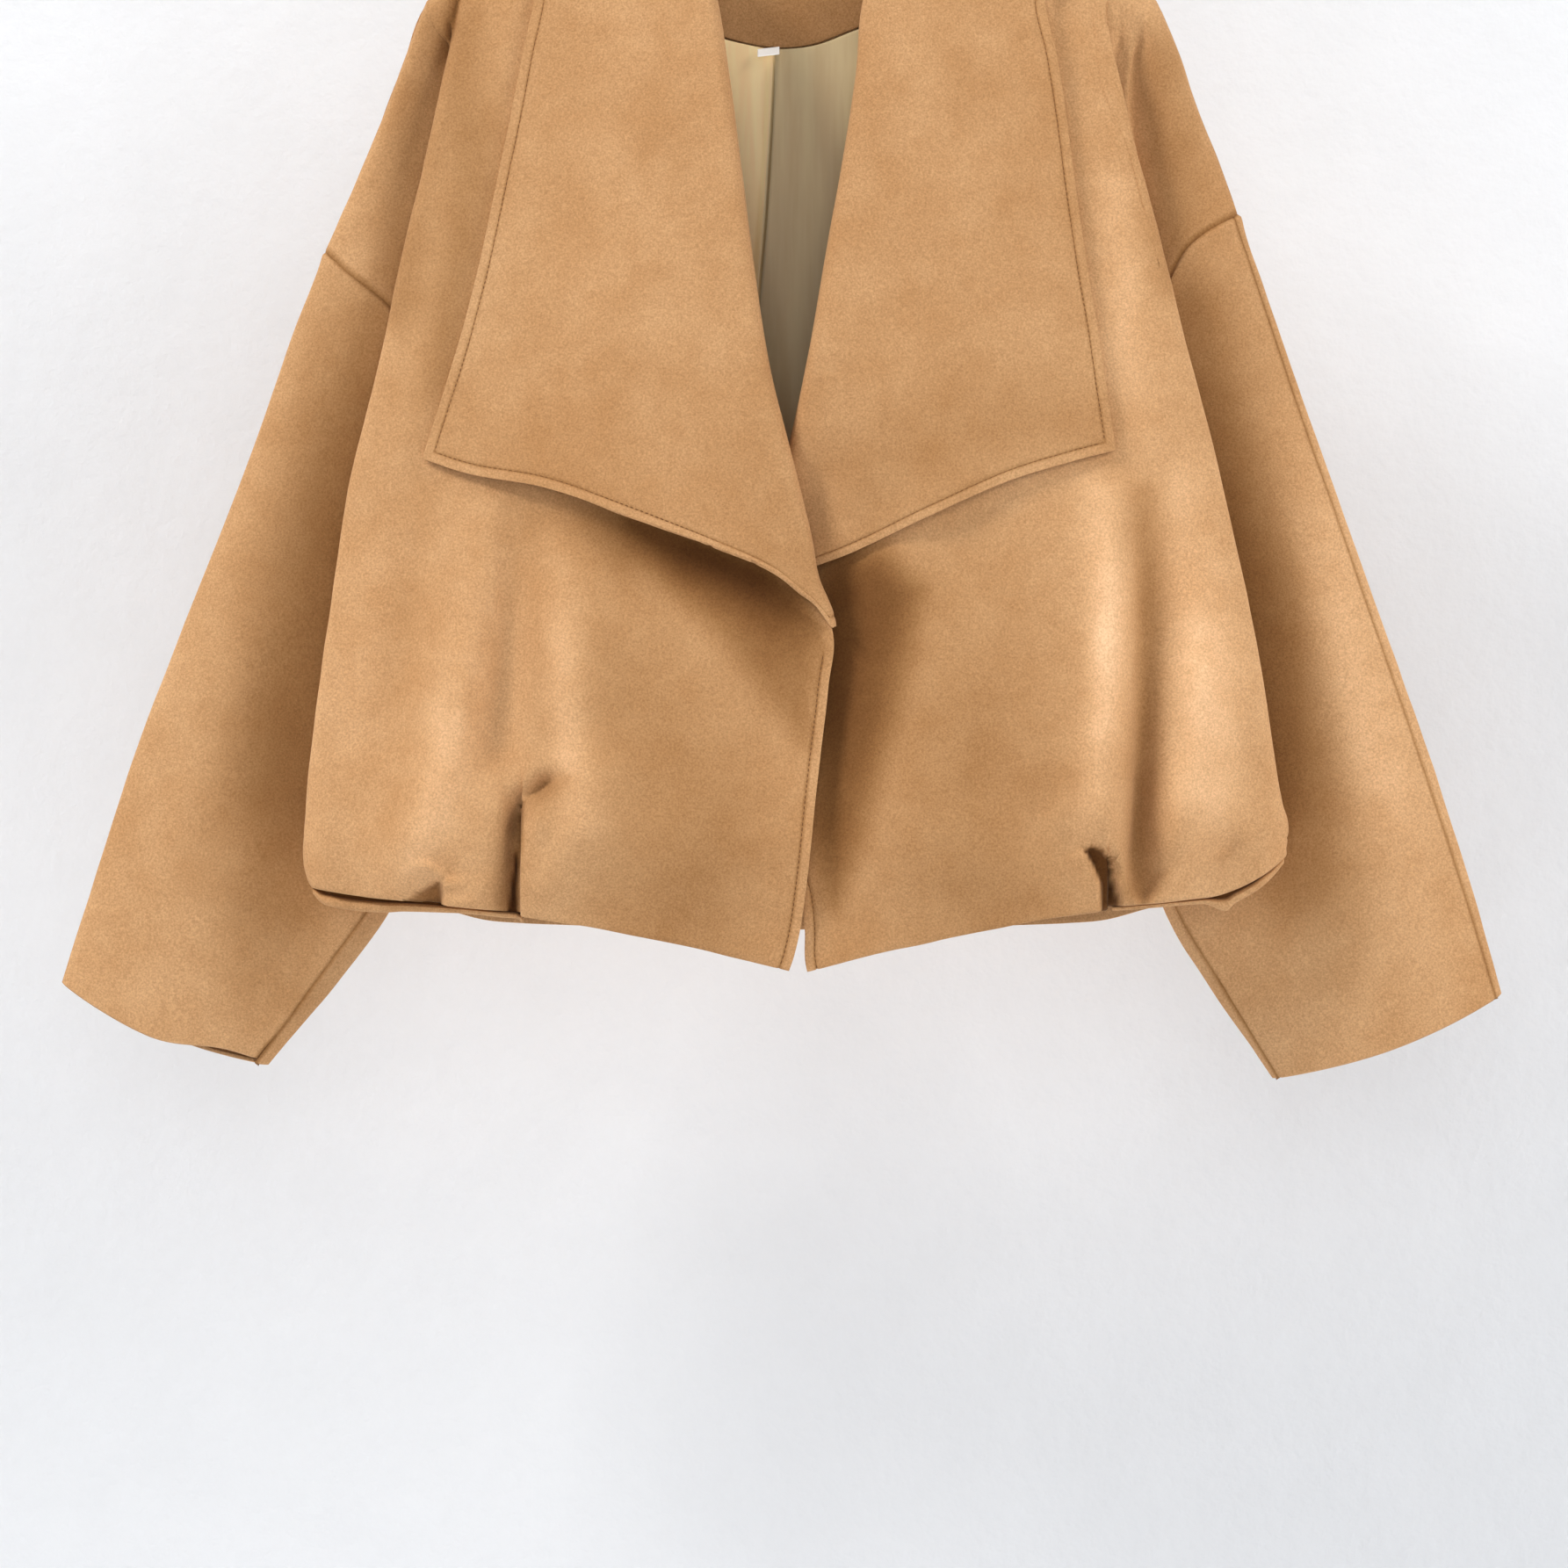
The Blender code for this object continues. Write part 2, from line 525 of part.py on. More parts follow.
# Rows of a revers: drop on the roll line, drop on its outer edge, how far it stands off its front.
REVERS_ROWS = {
    LEFT: [(135, 135, 1), (182, 167, 1), (236, 205, 1), (298, 246, 2), (362, 293, 4), (420, 336, 6),
           (464, 370, 8), (494, 392, 10), (509, 405, 11), (518, 413, 12), (522.5, 418, 12)],
    RIGHT: [(135, 135, 1), (182, 167, 1), (236, 205, 1), (296, 246, 2), (355, 293, 2), (408, 336, 3),
            (450, 370, 4), (480, 390, 5), (494, 402, 6), (501, 409, 6), (504.5, 413, 6)],
}
REVERS_OUTER = {
    LEFT: [(135, 161), (169, 168), (206, 174.6), (237, 181), (271, 187.6), (300, 194), (340, 204),
           (380, 216), (418, 228)],
    RIGHT: [(135, 154.4), (166, 160.8), (197, 165.8), (234, 169.6), (265, 175), (300, 179), (329, 184),
            (413, 196)],
}
# Foot of a revers: share of the way from its roll to its corner, height above the straight line.
REVERS_FOOT = {
    LEFT: [(0, 0), (0.03, 9), (0.06, 15), (0.115, 20), (0.2, 22.5), (0.345, 20), (0.665, 13.6), (0.76, 11),
           (0.9, 1.5), (1, 0)],
    RIGHT: [(0, 0), (0.06, 4), (0.18, 4), (0.37, 3.3), (0.59, 8), (0.8, 6), (1, 0)],
}
REVERS_REST = 4.0
# Stations round the roll, in radii: outward from its tip, forward of the front.
ROLL_STATIONS = ((1.0, 0.0), (0.3, 0.3), (0.0, 1.0), (0.3, 1.7), (1.0, 2.0))
FALL = (0.12, 0.28, 0.48, 0.7, 0.88, 1.0)


def collar_row(side, row):
    """A row of the collar round the neck: up its stand, over the fold and down to its outer edge."""
    seam, fold, outer = (Vector(COLLAR[row][i : i + 3]) for i in (0, 3, 6))
    stand = seam.lerp(fold, 0.55)
    away = (outer - fold).normalized()
    after = fold + away * 4 + (fold - seam).normalized() * -0.5
    points = [seam, stand, fold.lerp(stand, 0.12), fold, after]
    for share in FALL:
        points.append(after.lerp(outer, share))
    return [(side * p.x, p.z, p.y) for p in points]


def revers_row(side, row):
    roll_drop, outer_drop, proud = REVERS_ROWS[side][row]
    tip_x = along(side_tables(side)[0], roll_drop)
    radius = roll_radius(side, roll_drop)
    y0 = front_y(side, tip_x + side * radius, roll_drop)
    points = []
    for out, forward in ROLL_STATIONS:
        points.append((tip_x + side * out * radius, y0 - forward * radius, roll_drop))
    start_x = tip_x + side * radius
    end_x = side * along(REVERS_OUTER[side], outer_drop)
    bow = (row / (len(REVERS_ROWS[side]) - 1)) ** 3
    for share in FALL:
        x = mix(start_x, end_x, share)
        drop = mix(roll_drop, outer_drop, share) - bow * along(REVERS_FOOT[side], share)
        lift = mix(2 * radius, REVERS_REST, min(1, share * 1.4)) + proud * math.sin(math.pi * share**0.7)
        points.append((x, front_y(side, x, drop) - max(lift, REVERS_REST), drop))
    return points


def lapel_grid(side):
    """One half of the shawl collar: round the neck from centre back, then down the front as the revers."""
    rows = [collar_row(side, row) for row in range(len(COLLAR))]
    rows += [revers_row(side, row) for row in range(len(REVERS_ROWS[side]))]
    return [[pull(row[0], row[1], SEAM)] + row[1:] for row in rows]


LINING_CLOTH = 1.0
FACING_OFF_BACK, LINING_OFF_BACK, LABEL_OFF_BACK = 3.6, 3.8, 5.6
FACING_DROPS = (98, 108, 122, 140, 158.6)
LINING_DROPS = (160.0, 175, 220, 290, 370, 475)
LINING_SHARES = (-1, -0.6, "pleat out", "pleat", "pleat in", 0.25, 0.6, 1)
LINING_REACH, FACING_REACH = 92.0, 74.0
LINING_PLEAT_TOP_X, LINING_PLEAT_FOOT_X = -13.5, -26.0
INSIDE_BOW = 0.0009


def inside_back(x, drop, gap):
    return along(DEPTH, drop, 2) + relief(BACK_FOLDS, x, drop) - INSIDE_BOW * x * x - gap


def facing_seam(x):
    """Drop of the curved seam between the neck facing and the lining."""
    return FACING_DROPS[-1] - 0.0035 * x * x


def facing_grid():
    rows = []
    for drop in FACING_DROPS:
        low = (drop - FACING_DROPS[0]) / (FACING_DROPS[-1] - FACING_DROPS[0])
        row = []
        for i in range(9):
            x = (i / 4 - 1) * FACING_REACH * mix(0.72, 1, low)
            at = mix(drop, drop + facing_seam(x) - FACING_DROPS[-1], low) - (1 - low) * 0.002 * x * x
            row.append((x, inside_back(x, max(at, 96), FACING_OFF_BACK), at))
        rows.append(row)
    return rows


def lining_grid():
    rows = []
    for drop in LINING_DROPS:
        low = (drop - LINING_DROPS[0]) / (LINING_DROPS[-1] - LINING_DROPS[0])
        pleat = mix(LINING_PLEAT_TOP_X, LINING_PLEAT_FOOT_X, low)
        row = []
        for share in LINING_SHARES:
            step = {"pleat out": (-5, 0.0), "pleat": (0, 1.2), "pleat in": (1.5, -1.8)}.get(share)
            x = pleat + step[0] if step else share * LINING_REACH * mix(0.86, 1, low)
            top = facing_seam(x) - FACING_DROPS[-1]
            at = drop + top * (1 - low)
            off = (step[1] if step else 0) * ease(low * 12 + 0.2)
            row.append((x, inside_back(x, at, LINING_OFF_BACK + off), at))
        rows.append(row)
    return rows


LABEL_X, LABEL_WIDTH, LABEL_TOP, LABEL_DEEP = -16.4, 13.5, 158.8, 8.6


def label_grid():
    rows = []
    for drop in (LABEL_TOP, LABEL_TOP + LABEL_DEEP / 2, LABEL_TOP + LABEL_DEEP):
        columns = [LABEL_X + LABEL_WIDTH * share for share in (-0.5, 0, 0.5)]
        rows.append([(x, inside_back(x, drop, LABEL_OFF_BACK), drop) for x in columns])
    return rows


BAND_DEEP, BACK_BAND_REACH = 12.0, 245.0


def band_grid(foot):
    """A strip of the hem band, hanging under a tucked foot."""
    downs = (CLOTH / 2 + 1.2, BAND_DEEP * 0.5, BAND_DEEP)
    return [[(x, y, drop + down) for x, y, drop in foot] for down in downs]


def front_band(side):
    first = len(BEFORE_PLEAT) + len(PLEAT_STATIONS) - 1
    return band_grid(front_grid(side)[-1][first : first + len(AFTER_PLEAT) + 2])


def back_band(name):
    return band_grid([p for p in back_strip(name)[-1] if abs(p[0]) < BACK_BAND_REACH])


HOOK_RADIUS, WIRE_RADIUS, HOOK_SHANK_END = 21.0, 1.8, 70.6
HOOK_POINTS = 14


def hook_route():
    """Centre line of the hook: its tip, round over the top and down to the wood."""
    centre = HOOK_RADIUS - WIRE_RADIUS
    arc = [math.radians(200 - 270 * i / HOOK_POINTS) for i in range(HOOK_POINTS + 1)]
    points = [(HOOK_RADIUS * math.cos(a), 0, centre - HOOK_RADIUS * math.sin(a)) for a in arc]
    neck = [(0, 0, centre + HOOK_RADIUS + 5), (0, 0, HOOK_SHANK_END)]
    return points[:-1] + neck


def tube(name, route, radius, slot, sides=2):
    curve = bpy.data.curves.new(name, "CURVE")
    curve.dimensions = "3D"
    curve.bevel_depth = radius * MM
    curve.bevel_resolution = sides
    curve.use_fill_caps = True
    line = curve.splines.new("POLY")
    line.points.add(len(route) - 1)
    for point, (x, y, drop) in zip(line.points, route):
        point.co = (x * MM, y * MM, -drop * MM, 1)
    piece = bpy.data.objects.new(name, curve)
    bpy.data.collections["wrap_coat"].objects.link(piece)
    curve.materials.append(bpy.data.materials[slot])
    return piece


def arms_route():
    """Centre line of the hanger's arms, under the shoulder line by the arms' radius and the cloth."""
    under = (ARM_RADIUS + CLOTH / 2 + ARM_CLEARANCE) * math.hypot(1, SHOULDER_SLOPE)
    route = []
    for i in range(-10, 11):
        reach = ARM_REACH * abs(i) / 10
        bow = 6.0 * math.exp(-((reach / 34) ** 2))
        route.append((math.copysign(reach, i), 0, shoulder_drop(reach) + under + bow))
    return route


def wall(name, rows, slot, thickness=CLOTH):
    """A sheet through a grid of points, thickened evenly on both sides."""
    down, across = len(rows), len(rows[0])
    mesh = bpy.data.meshes.new(name)
    shape = bmesh.new()
    bmesh.ops.create_grid(shape, x_segments=across - 1, y_segments=down - 1, size=0.5)
    shape.verts.ensure_lookup_table()
    for vertex in shape.verts:
        i = round((vertex.co.x + 0.5) * (across - 1))
        k = round((0.5 - vertex.co.y) * (down - 1))
        x, y, drop = rows[k][i]
        vertex.co = Vector((x, y, -drop)) * MM
    shape.to_mesh(mesh)
    shape.free()
    return finish(name, mesh, slot, thickness)


def finish(name, mesh, slot, thickness=None):
    piece = bpy.data.objects.new(name, mesh)
    bpy.data.collections["wrap_coat"].objects.link(piece)
    mesh.materials.append(bpy.data.materials[slot])
    if thickness:
        shell = piece.modifiers.new("cloth", "SOLIDIFY")
        shell.thickness = thickness * MM
        shell.offset = 0
    return piece


def make_materials():
    for slot, colour in COLOURS.items():
        material = bpy.data.materials.new(slot)
        material.use_nodes = True
        shader = material.node_tree.nodes["Principled BSDF"]
        shader.inputs["Base Color"].default_value = (*colour, 1)
        shader.inputs["Roughness"].default_value = ROUGHNESS[slot]
        shader.inputs["Metallic"].default_value = 1.0 if slot == "steel" else 0.0


def main():
    clear_scene()
    bpy.context.scene.collection.children.link(bpy.data.collections.new("wrap_coat"))
    make_materials()
    wall("front_left", front_grid(LEFT), "suede")
    wall("front_right", front_grid(RIGHT), "suede")
    for name in BACK_STRIPS:
        wall(name, back_strip(name), "suede")
        wall(name.replace("back", "hem_band_back"), back_band(name), "suede")
    for side, label in ((LEFT, "left"), (RIGHT, "right")):
        for part in ("sleeve", "forearm"):
            wall(f"{part}_front_{label}", sleeve_grid(side, -1, part), "suede")
            wall(f"{part}_back_{label}", sleeve_grid(side, 1, part), "suede")
        wall(f"lapel_{label}", lapel_grid(side), "suede", COLLAR_CLOTH)
    wall("neck_facing", facing_grid(), "suede", LINING_CLOTH)
    wall("lining", lining_grid(), "satin", LINING_CLOTH)
    wall("label", label_grid(), "label", LINING_CLOTH)
    wall("hem_band_left", front_band(LEFT), "suede")
    wall("hem_band_right", front_band(RIGHT), "suede")
    tube("hanger_arms", arms_route(), ARM_RADIUS, "wood")
    tube("hanger_hook", hook_route(), WIRE_RADIUS, "steel")


main()
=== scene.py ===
"""Looks of the short wrap coat in faux suede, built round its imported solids.

Form functions work in millimetres: x to the right, drop downwards from the hook, y towards the wall.
Every panel starts as the maker's coarse grid, gets a fine smooth grid through it, then its soft
creases, seam allowances and edge finish, and last the cloth's thickness.
"""

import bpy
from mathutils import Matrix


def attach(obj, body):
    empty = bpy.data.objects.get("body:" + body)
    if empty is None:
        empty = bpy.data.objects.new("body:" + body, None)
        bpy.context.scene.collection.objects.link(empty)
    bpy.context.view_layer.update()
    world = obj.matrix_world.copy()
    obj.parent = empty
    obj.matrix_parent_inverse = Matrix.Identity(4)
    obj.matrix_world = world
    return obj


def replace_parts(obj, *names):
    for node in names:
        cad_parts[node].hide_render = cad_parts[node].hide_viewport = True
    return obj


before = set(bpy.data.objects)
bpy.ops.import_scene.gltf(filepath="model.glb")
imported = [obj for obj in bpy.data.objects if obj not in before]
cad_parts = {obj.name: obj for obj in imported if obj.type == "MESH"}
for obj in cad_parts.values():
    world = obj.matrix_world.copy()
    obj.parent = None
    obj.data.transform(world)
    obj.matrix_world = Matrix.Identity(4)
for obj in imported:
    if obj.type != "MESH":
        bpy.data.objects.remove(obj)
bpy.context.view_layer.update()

import math

import bpy
import numpy as np
from mathutils import Vector, noise

MM = 0.001
CLOTH = 2.0
SEAM = 0.35
LEFT, RIGHT = -1, 1

# Shoulder line, the same on both sides: it lies on the hanger's arms.
NECK_X, NECK_DROP = 80.0, 84.0
ARM_END_X, ARM_END_DROP = 206.0, 117.0
ARM_RADIUS, ARM_CLEARANCE, ARM_REACH = 6.2, 0.6, 198.0
SHOULDER_SLOPE = (ARM_END_DROP - NECK_DROP) / (ARM_END_X - NECK_X)
CENTRE_BACK_NECK_DROP = 92.0

# Roll line of the revers, then the front edge below it: drop, x.
EDGE = {
    LEFT: [
        (84, -78), (110, -62), (135, -48.6), (189, -40.5), (270, -29.7), (351, -18.9), (394, -8.1),
        (437, 1.6), (484, 14), (508, 20), (523, 24), (567, 20), (621, 13.8), (674, 8.5), (714, 2.7), (731, -2.7),
    ],
    RIGHT: [
        (84, 78), (110, 58), (135, 43.2), (189, 37.8), (254, 27), (329, 13.5), (389, 2.7),
        (440, -12), (505, -30), (545, -34), (600, -24), (660, -6), (693, 5), (714, 4), (731, 6),
    ],
}
# Outermost line of the body, where the front folds back over the sleeve: drop, reach from the centre.
FOLD = {
    LEFT: [
        (117, 206), (135, 207), (178, 216.5), (216, 224.3), (255, 233.4), (315, 246.5), (340, 251.7),
        (432, 272.7), (540, 289), (599, 297), (653, 301), (672, 299), (684, 293), (700, 290),
    ],
    RIGHT: [
        (117, 204), (135, 200), (189, 203), (234, 212.8), (284, 225.2), (329, 235.2), (432, 262),
        (540, 284.6), (610, 294.3), (656, 301), (668, 298), (684, 289), (700, 286),
    ],
}
# Armhole seam from the shoulder's tip, then the side seam below the underarm: drop, reach.
SIDE_SEAM = {
    LEFT: [
        (287, 290.5), (300, 277), (321, 251), (350, 229), (400, 202), (440, 187), (470, 180),
        (500, 182), (560, 203), (630, 238), (690, 262), (704, 264),
    ],
    RIGHT: [
        (264, 273.6), (273, 257.6), (284, 243), (305, 231), (350, 212), (400, 194), (440, 184), (470, 180),
        (500, 182), (560, 203), (630, 238), (690, 262), (704, 264),
    ],
}
SHOULDER_TIP = {LEFT: (290.5, 287.0), RIGHT: (273.6, 264.0)}
# Half depth of the body in front and behind, at the centre: drop, front, back.
DEPTH = [
    (84, 10, 9), (117, 15, 12), (185, 29, 20), (285, 41, 25), (435, 55, 29), (585, 67, 32),
    (650, 73, 34), (700, 66, 33), (735, 62, 32),
]
# Each row of a front: the drop where it meets the front edge, the side fold and the armhole or side seam.
FRONT_ROWS = [
    (84, 117, 0.0), (84.2, 117.2, 0.001), (86.2, 119.2, 0.01), (91.5, 124.5, 0.03), (108, 137, 0.07),
    (135, 153, 0.12), (182, 190, 0.25), (236, 234, 0.42), (298, 290, 0.62), (362, 350, 0.80),
    (420, 410, 0.93), (464, 452, 1.0), (494, 486, 1.08), (522.5, 517, 1.22), (560, 556, 1.39),
    (598, 590, 1.54), (628, 613, 1.64), (655, 632, 1.73), (681, 650, 1.81), (705, 666, 1.89),
    (722, 677, 1.96), (730, 684, 2.0),
]
UNDERARM_ROW = 11
# How far the right front lies behind the left one, near the centre: drop, setback.
UNDERLAP = [(380, 0), (450, 17), (540, 17), (640, 9), (700, 5), (735, 4)]
UNDERLAP_END, UNDERLAP_WIDTH = 62.0, 40.0
# Broad folds of the fronts, seen from the front: x, drop at the top, x, drop at the foot, width, height.
BROAD_FOLDS = {
    LEFT: [
        (-194, 459, -214, 553, 24, 7), (-214, 553, -238, 680, 20, 9), (-138, 475, -141, 592, 22, 6),
        (-129, 614, -160, 694, 20, 6), (-222, 470, -262, 600, 22, -5), (-168, 480, -178, 600, 20, -5),
        (-60, 500, -70, 700, 34, 4), (-152, 612, -142, 626, 9, 4),
    ],
    RIGHT: [
        (194, 459, 190, 570, 22, 7), (190, 570, 181, 650, 20, 8), (217, 470, 214, 600, 14, -7),
        (248, 540, 240, 655, 22, 7), (214, 600, 211, 694, 10, -9), (158, 600, 146, 660, 12, -3),
        (90, 520, 100, 700, 34, 4), (262, 652, 226, 672, 12, -3),
    ],
}
# Knife pleat in each hem: its edge's reach, where it starts and is full, its depth.
PLEAT = {LEFT: (166.0, 604.0, 640.0, 15.0), RIGHT: (190.0, 646.0, 672.0, 12.0)}


def ease(value):
    """0 below 0, 1 above 1 and smooth between, for a number or an array."""
    value = np.clip(value, 0.0, 1.0)
    return value * value * (3 - 2 * value)


def between(value, start, end):
    """0 up to start, 1 from end on and straight between, for a number or an array."""
    return np.clip((value - start) / (end - start), 0.0, 1.0)


def curve_weights(t):
    """Shares of a smooth curve's two ends, and of its slopes there, at t between 0 and 1."""
    return 2 * t**3 - 3 * t**2 + 1, -2 * t**3 + 3 * t**2, t**3 - 2 * t**2 + t, t**3 - t**2


def along(table, at, column=1):
    """Value of a table's column at a place in its first column, on a smooth curve through its rows."""
    places = [row[0] for row in table]
    values = [row[column] for row in table]
    at = min(max(at, places[0]), places[-1])
    i = min(max(int(np.searchsorted(places, at, side="right")) - 1, 0), len(places) - 2)
    span = places[i + 1] - places[i]

    def slope(k):
        before, after = max(k - 1, 0), min(k + 1, len(places) - 1)
        return (values[after] - values[before]) / (places[after] - places[before])

    stay, go, leave, arrive = curve_weights((at - places[i]) / span)
    return stay * values[i] + go * values[i + 1] + span * (leave * slope(i) + arrive * slope(i + 1))


def mix(a, b, share):
    return a + (b - a) * share


def shoulder_drop(reach):
    return NECK_DROP + (reach - NECK_X) * SHOULDER_SLOPE


def relief(folds, x, drop):
    """Height of the broad folds here, as soft ridges that fade at both ends."""
    height = 0.0
    for x0, drop0, x1, drop1, width, tall in folds:
        run = Vector((x1 - x0, drop1 - drop0))
        here = Vector((x - x0, drop - drop0))
        share = here.dot(run) / run.length_squared
        off = (here - run * share).length / width
        fade = ease((share + 0.25) / 0.4) * ease((1.2 - share) / 0.4)
        height += tall * fade * math.exp(-off * off)
    return height


def front_y(side, x, drop):
    """The front's outer form without its pleat: rounded across, fullest just above the hem."""
    reach = along(FOLD[side], max(drop, ARM_END_DROP))
    share = min(1.0, abs(x) / reach)
    y = -along(DEPTH, drop) * (1 - 0.45 * share**3) - relief(BROAD_FOLDS[side], x, drop)
    if side == RIGHT:
        y += along(UNDERLAP, drop) * ease((UNDERLAP_END - x) / UNDERLAP_WIDTH)
    return y


# Shoulder seam beyond the hanger's end, to the shoulder's tip: drop, left reach, right reach.
SHOULDER_EDGE = {
    LEFT: [(117, 206), (124, 218), (135, 229), (164, 240), (206, 255.7), (247, 272.7), (287, 290.5)],
    RIGHT: [(117, 204), (124, 215), (135, 225), (158, 235), (204, 251), (249, 268.7), (264, 273.6)],
}
# Inner turn of the side fold above the underarm: drop, reach.
INNER_TURN = [(117, 204), (135, 202), (178, 204), (250, 209), (321, 202), (380, 190), (450, 176)]
UNDERARM_DROP, HEM_SEAM_DROP = 470.0, 690.0
SEAM_Y = [(470, -15), (500, -12), (600, -11), (704, -10)]
FOLD_RADIUS = [(117, 5), (540, 5), (600, 8), (650, 12), (700, 12)]
INNER_RADIUS = 3.4
OVER_ARM_Y = (-0.3, -2.6, -6.0, -8.9)
BEFORE_PLEAT = (0, 0.16, 0.38, 0.60, 0.82)
AFTER_PLEAT = (0.24, 0.5, 0.76)
ON_SHOULDER = (0.25, 0.5, 0.75, 1.0)
# Stations through a pleat: reach from its edge and y when flat, then the same when folded.
PLEAT_STATIONS = [
    (-6, 0, -3, 0), (-2, 0, 0, 1.8), (2, 0, "in", 5.0), (6, 0, "turn", 7.4),
    (10, 0, "in", 9.8), (14, 0, 4, 9.0), (19, 0, 13, 0),
]
FLAT_FALL = 2.4
HIDDEN_STATIONS = 4


def side_place(side, share):
    """Reach, drop and y on the armhole (share 0 to 1) and then down the side seam (1 to 2)."""
    tip = SHOULDER_TIP[side][1]
    if share <= 1:
        drop = mix(tip, UNDERARM_DROP, share)
        y = mix(OVER_ARM_Y[0], -8, min(1, share / 0.12) ** 0.35) - 7 * ease((share - 0.3) / 0.7)
    else:
        drop = mix(UNDERARM_DROP, HEM_SEAM_DROP, share - 1)
        y = along(SEAM_Y, drop)
    return along(SIDE_SEAM[side], drop), drop, y


def roll_radius(side, drop):
    return along(ROLL_RADIUS[side], drop)


def pleat_points(side, drop_at):
    """Stations of one row through its pleat, which is flat above and folded at the hem."""
    edge, start, full, deep = PLEAT[side]
    points = []
    for flat, flat_y, folded, folded_y in PLEAT_STATIONS:
        offset = {"in": 2.2 - deep, "turn": -deep}.get(folded, folded)
        drop = drop_at(side * (edge + flat))
        share = ease((drop - start) / (full - start))
        reach = edge + mix(flat, offset, share)
        y = front_y(side, side * (edge + mix(flat, max(offset, 0), share)), drop)
        points.append((side * reach, y + mix(flat_y, folded_y, share), drop))
    return points


def front_row(side, row):
    """One row of a front, from its front edge round the side fold to the armhole or side seam."""
    edge_drop, fold_drop, side_share = FRONT_ROWS[row]
    beside_roll = side * (roll_radius(side, edge_drop) + ROLL_GAP)
    edge_x = along(EDGE[side], edge_drop) + beside_roll * ease((edge_drop - 95) / 35)
    fold_reach = along(FOLD[side], fold_drop)
    curve_power = 1 + 0.6 * ease((fold_drop - 380) / 300)

    def drop_at(x):
        share = (x - edge_x) / (side * fold_reach - edge_x)
        return mix(edge_drop, fold_drop, 1 - (1 - max(0.0, share)) ** curve_power)

    def skin(x):
        return x, front_y(side, x, drop_at(x)), drop_at(x)

    first, last = (PLEAT[side][0] + PLEAT_STATIONS[i][0] for i in (0, -1))
    points = [skin(mix(edge_x, side * first, share)) for share in BEFORE_PLEAT]
    points += pleat_points(side, drop_at)
    points += [skin(side * mix(last, fold_reach, share)) for share in AFTER_PLEAT]
    if row < len(OVER_ARM_Y):
        points = [(x, OVER_ARM_Y[row], drop) for x, _, drop in points]
    points += side_fold(side, row, fold_reach, fold_drop, side_share)
    return points[:-1] + [pull(points[-1], points[-2], 0.3 * SEAM)]


def side_fold(side, row, fold_reach, fold_drop, side_share):
    """The stations round the side fold and on behind it, for one row."""
    radius = along(FOLD_RADIUS, fold_drop)
    folded = ease((fold_drop - ARM_END_DROP - 6) / 50)
    y1 = min(front_y(side, side * (fold_reach - radius), fold_drop), -14 * folded)
    y2 = y1 + 2 * radius
    out_reach, out_drop, out_y = side_place(side, side_share)
    turn = [(fold_reach - 0.9 * radius, y1), (fold_reach, y1 + radius), (fold_reach - 0.9 * radius, y2)]
    points = [(side * reach, y, fold_drop) for reach, y in turn]
    hidden = HIDDEN_STATIONS + len(ON_SHOULDER)
    if row > UNDERARM_ROW:
        start = Vector(points[-1])
        end = Vector((side * out_reach, out_y, out_drop))
        return points + [tuple(start.lerp(end, i / hidden)) for i in range(1, hidden + 1)]
    inner = along(INNER_TURN, fold_drop)
    y3 = y2 + 2 * INNER_RADIUS
    drop2 = mix(fold_drop, min(fold_drop + 12, UNDERARM_DROP - 4), folded)
    behind = [
        (mix(fold_reach - radius, inner + INNER_RADIUS, 0.5), y2), (inner + INNER_RADIUS, y2),
        (inner, y2 + INNER_RADIUS), (inner + INNER_RADIUS, y3),
    ]
    points += [(side * reach, y, drop2) for reach, y in behind]
    if folded < 1:
        seam_y = OVER_ARM_Y[min(row, 3)]
        spread = []
        for i in range(len(points)):
            drop = ARM_END_DROP + (i + 1) * FLAT_FALL
            spread.append((side * along(SHOULDER_EDGE[side], drop), seam_y, drop + fold_drop - ARM_END_DROP))
        points = [tuple(Vector(a).lerp(Vector(b), folded)) for a, b in zip(spread, points)]
    edge = SHOULDER_EDGE[side]
    base_drop = ARM_END_DROP + len(points) * FLAT_FALL
    base = Vector((side * along(edge, base_drop), OVER_ARM_Y[0], base_drop))
    tip = Vector((side * SHOULDER_TIP[side][0], OVER_ARM_Y[0], SHOULDER_TIP[side][1]))
    from_base = Vector(points[-1]) - base
    from_tip = Vector((side * out_reach, out_y, out_drop)) - tip
    for share in ON_SHOULDER:
        drop = mix(base_drop, tip.z, share)
        seam = Vector((side * along(edge, drop), OVER_ARM_Y[0], drop))
        points.append(tuple(seam + from_base * (1 - share) + from_tip * share))
    return points


CURL = 15.0


def curl_rows(rows, inward, amount):
    """Two more rows that turn the foot of a panel in and up, by an amount that varies across it."""
    foot = rows[-1]
    turned = []
    for out, lift in ((0.5, 0.0), (1.0, 0.34)):
        turned.append([
            (x + inward(i)[0] * amount(i) * out, y + inward(i)[1] * amount(i) * out,
             drop - 1.0 - amount(i) * lift)
            for i, (x, y, drop) in enumerate(foot)
        ])
    return rows + turned


def front_grid(side):
    rows = [front_row(side, row) for row in range(len(FRONT_ROWS))]
    foot = rows[-1]
    fold_first = len(foot) - 3 - HIDDEN_STATIONS - len(ON_SHOULDER)

    def inward(i):
        if i == fold_first + 1:
            return (-float(side), 0.0)
        return (0.0, 1.0) if i <= fold_first else (0.0, -1.0)

    def amount(i):
        reach = abs(foot[i][0])
        if i >= fold_first:
            return 8.0
        if reach < 230:
            return mix(4.4, CURL, ease((reach - 150) / 60))
        return mix(CURL, 8.0, ease((reach - 240) / 45))

    return curl_rows(rows, inward, amount)


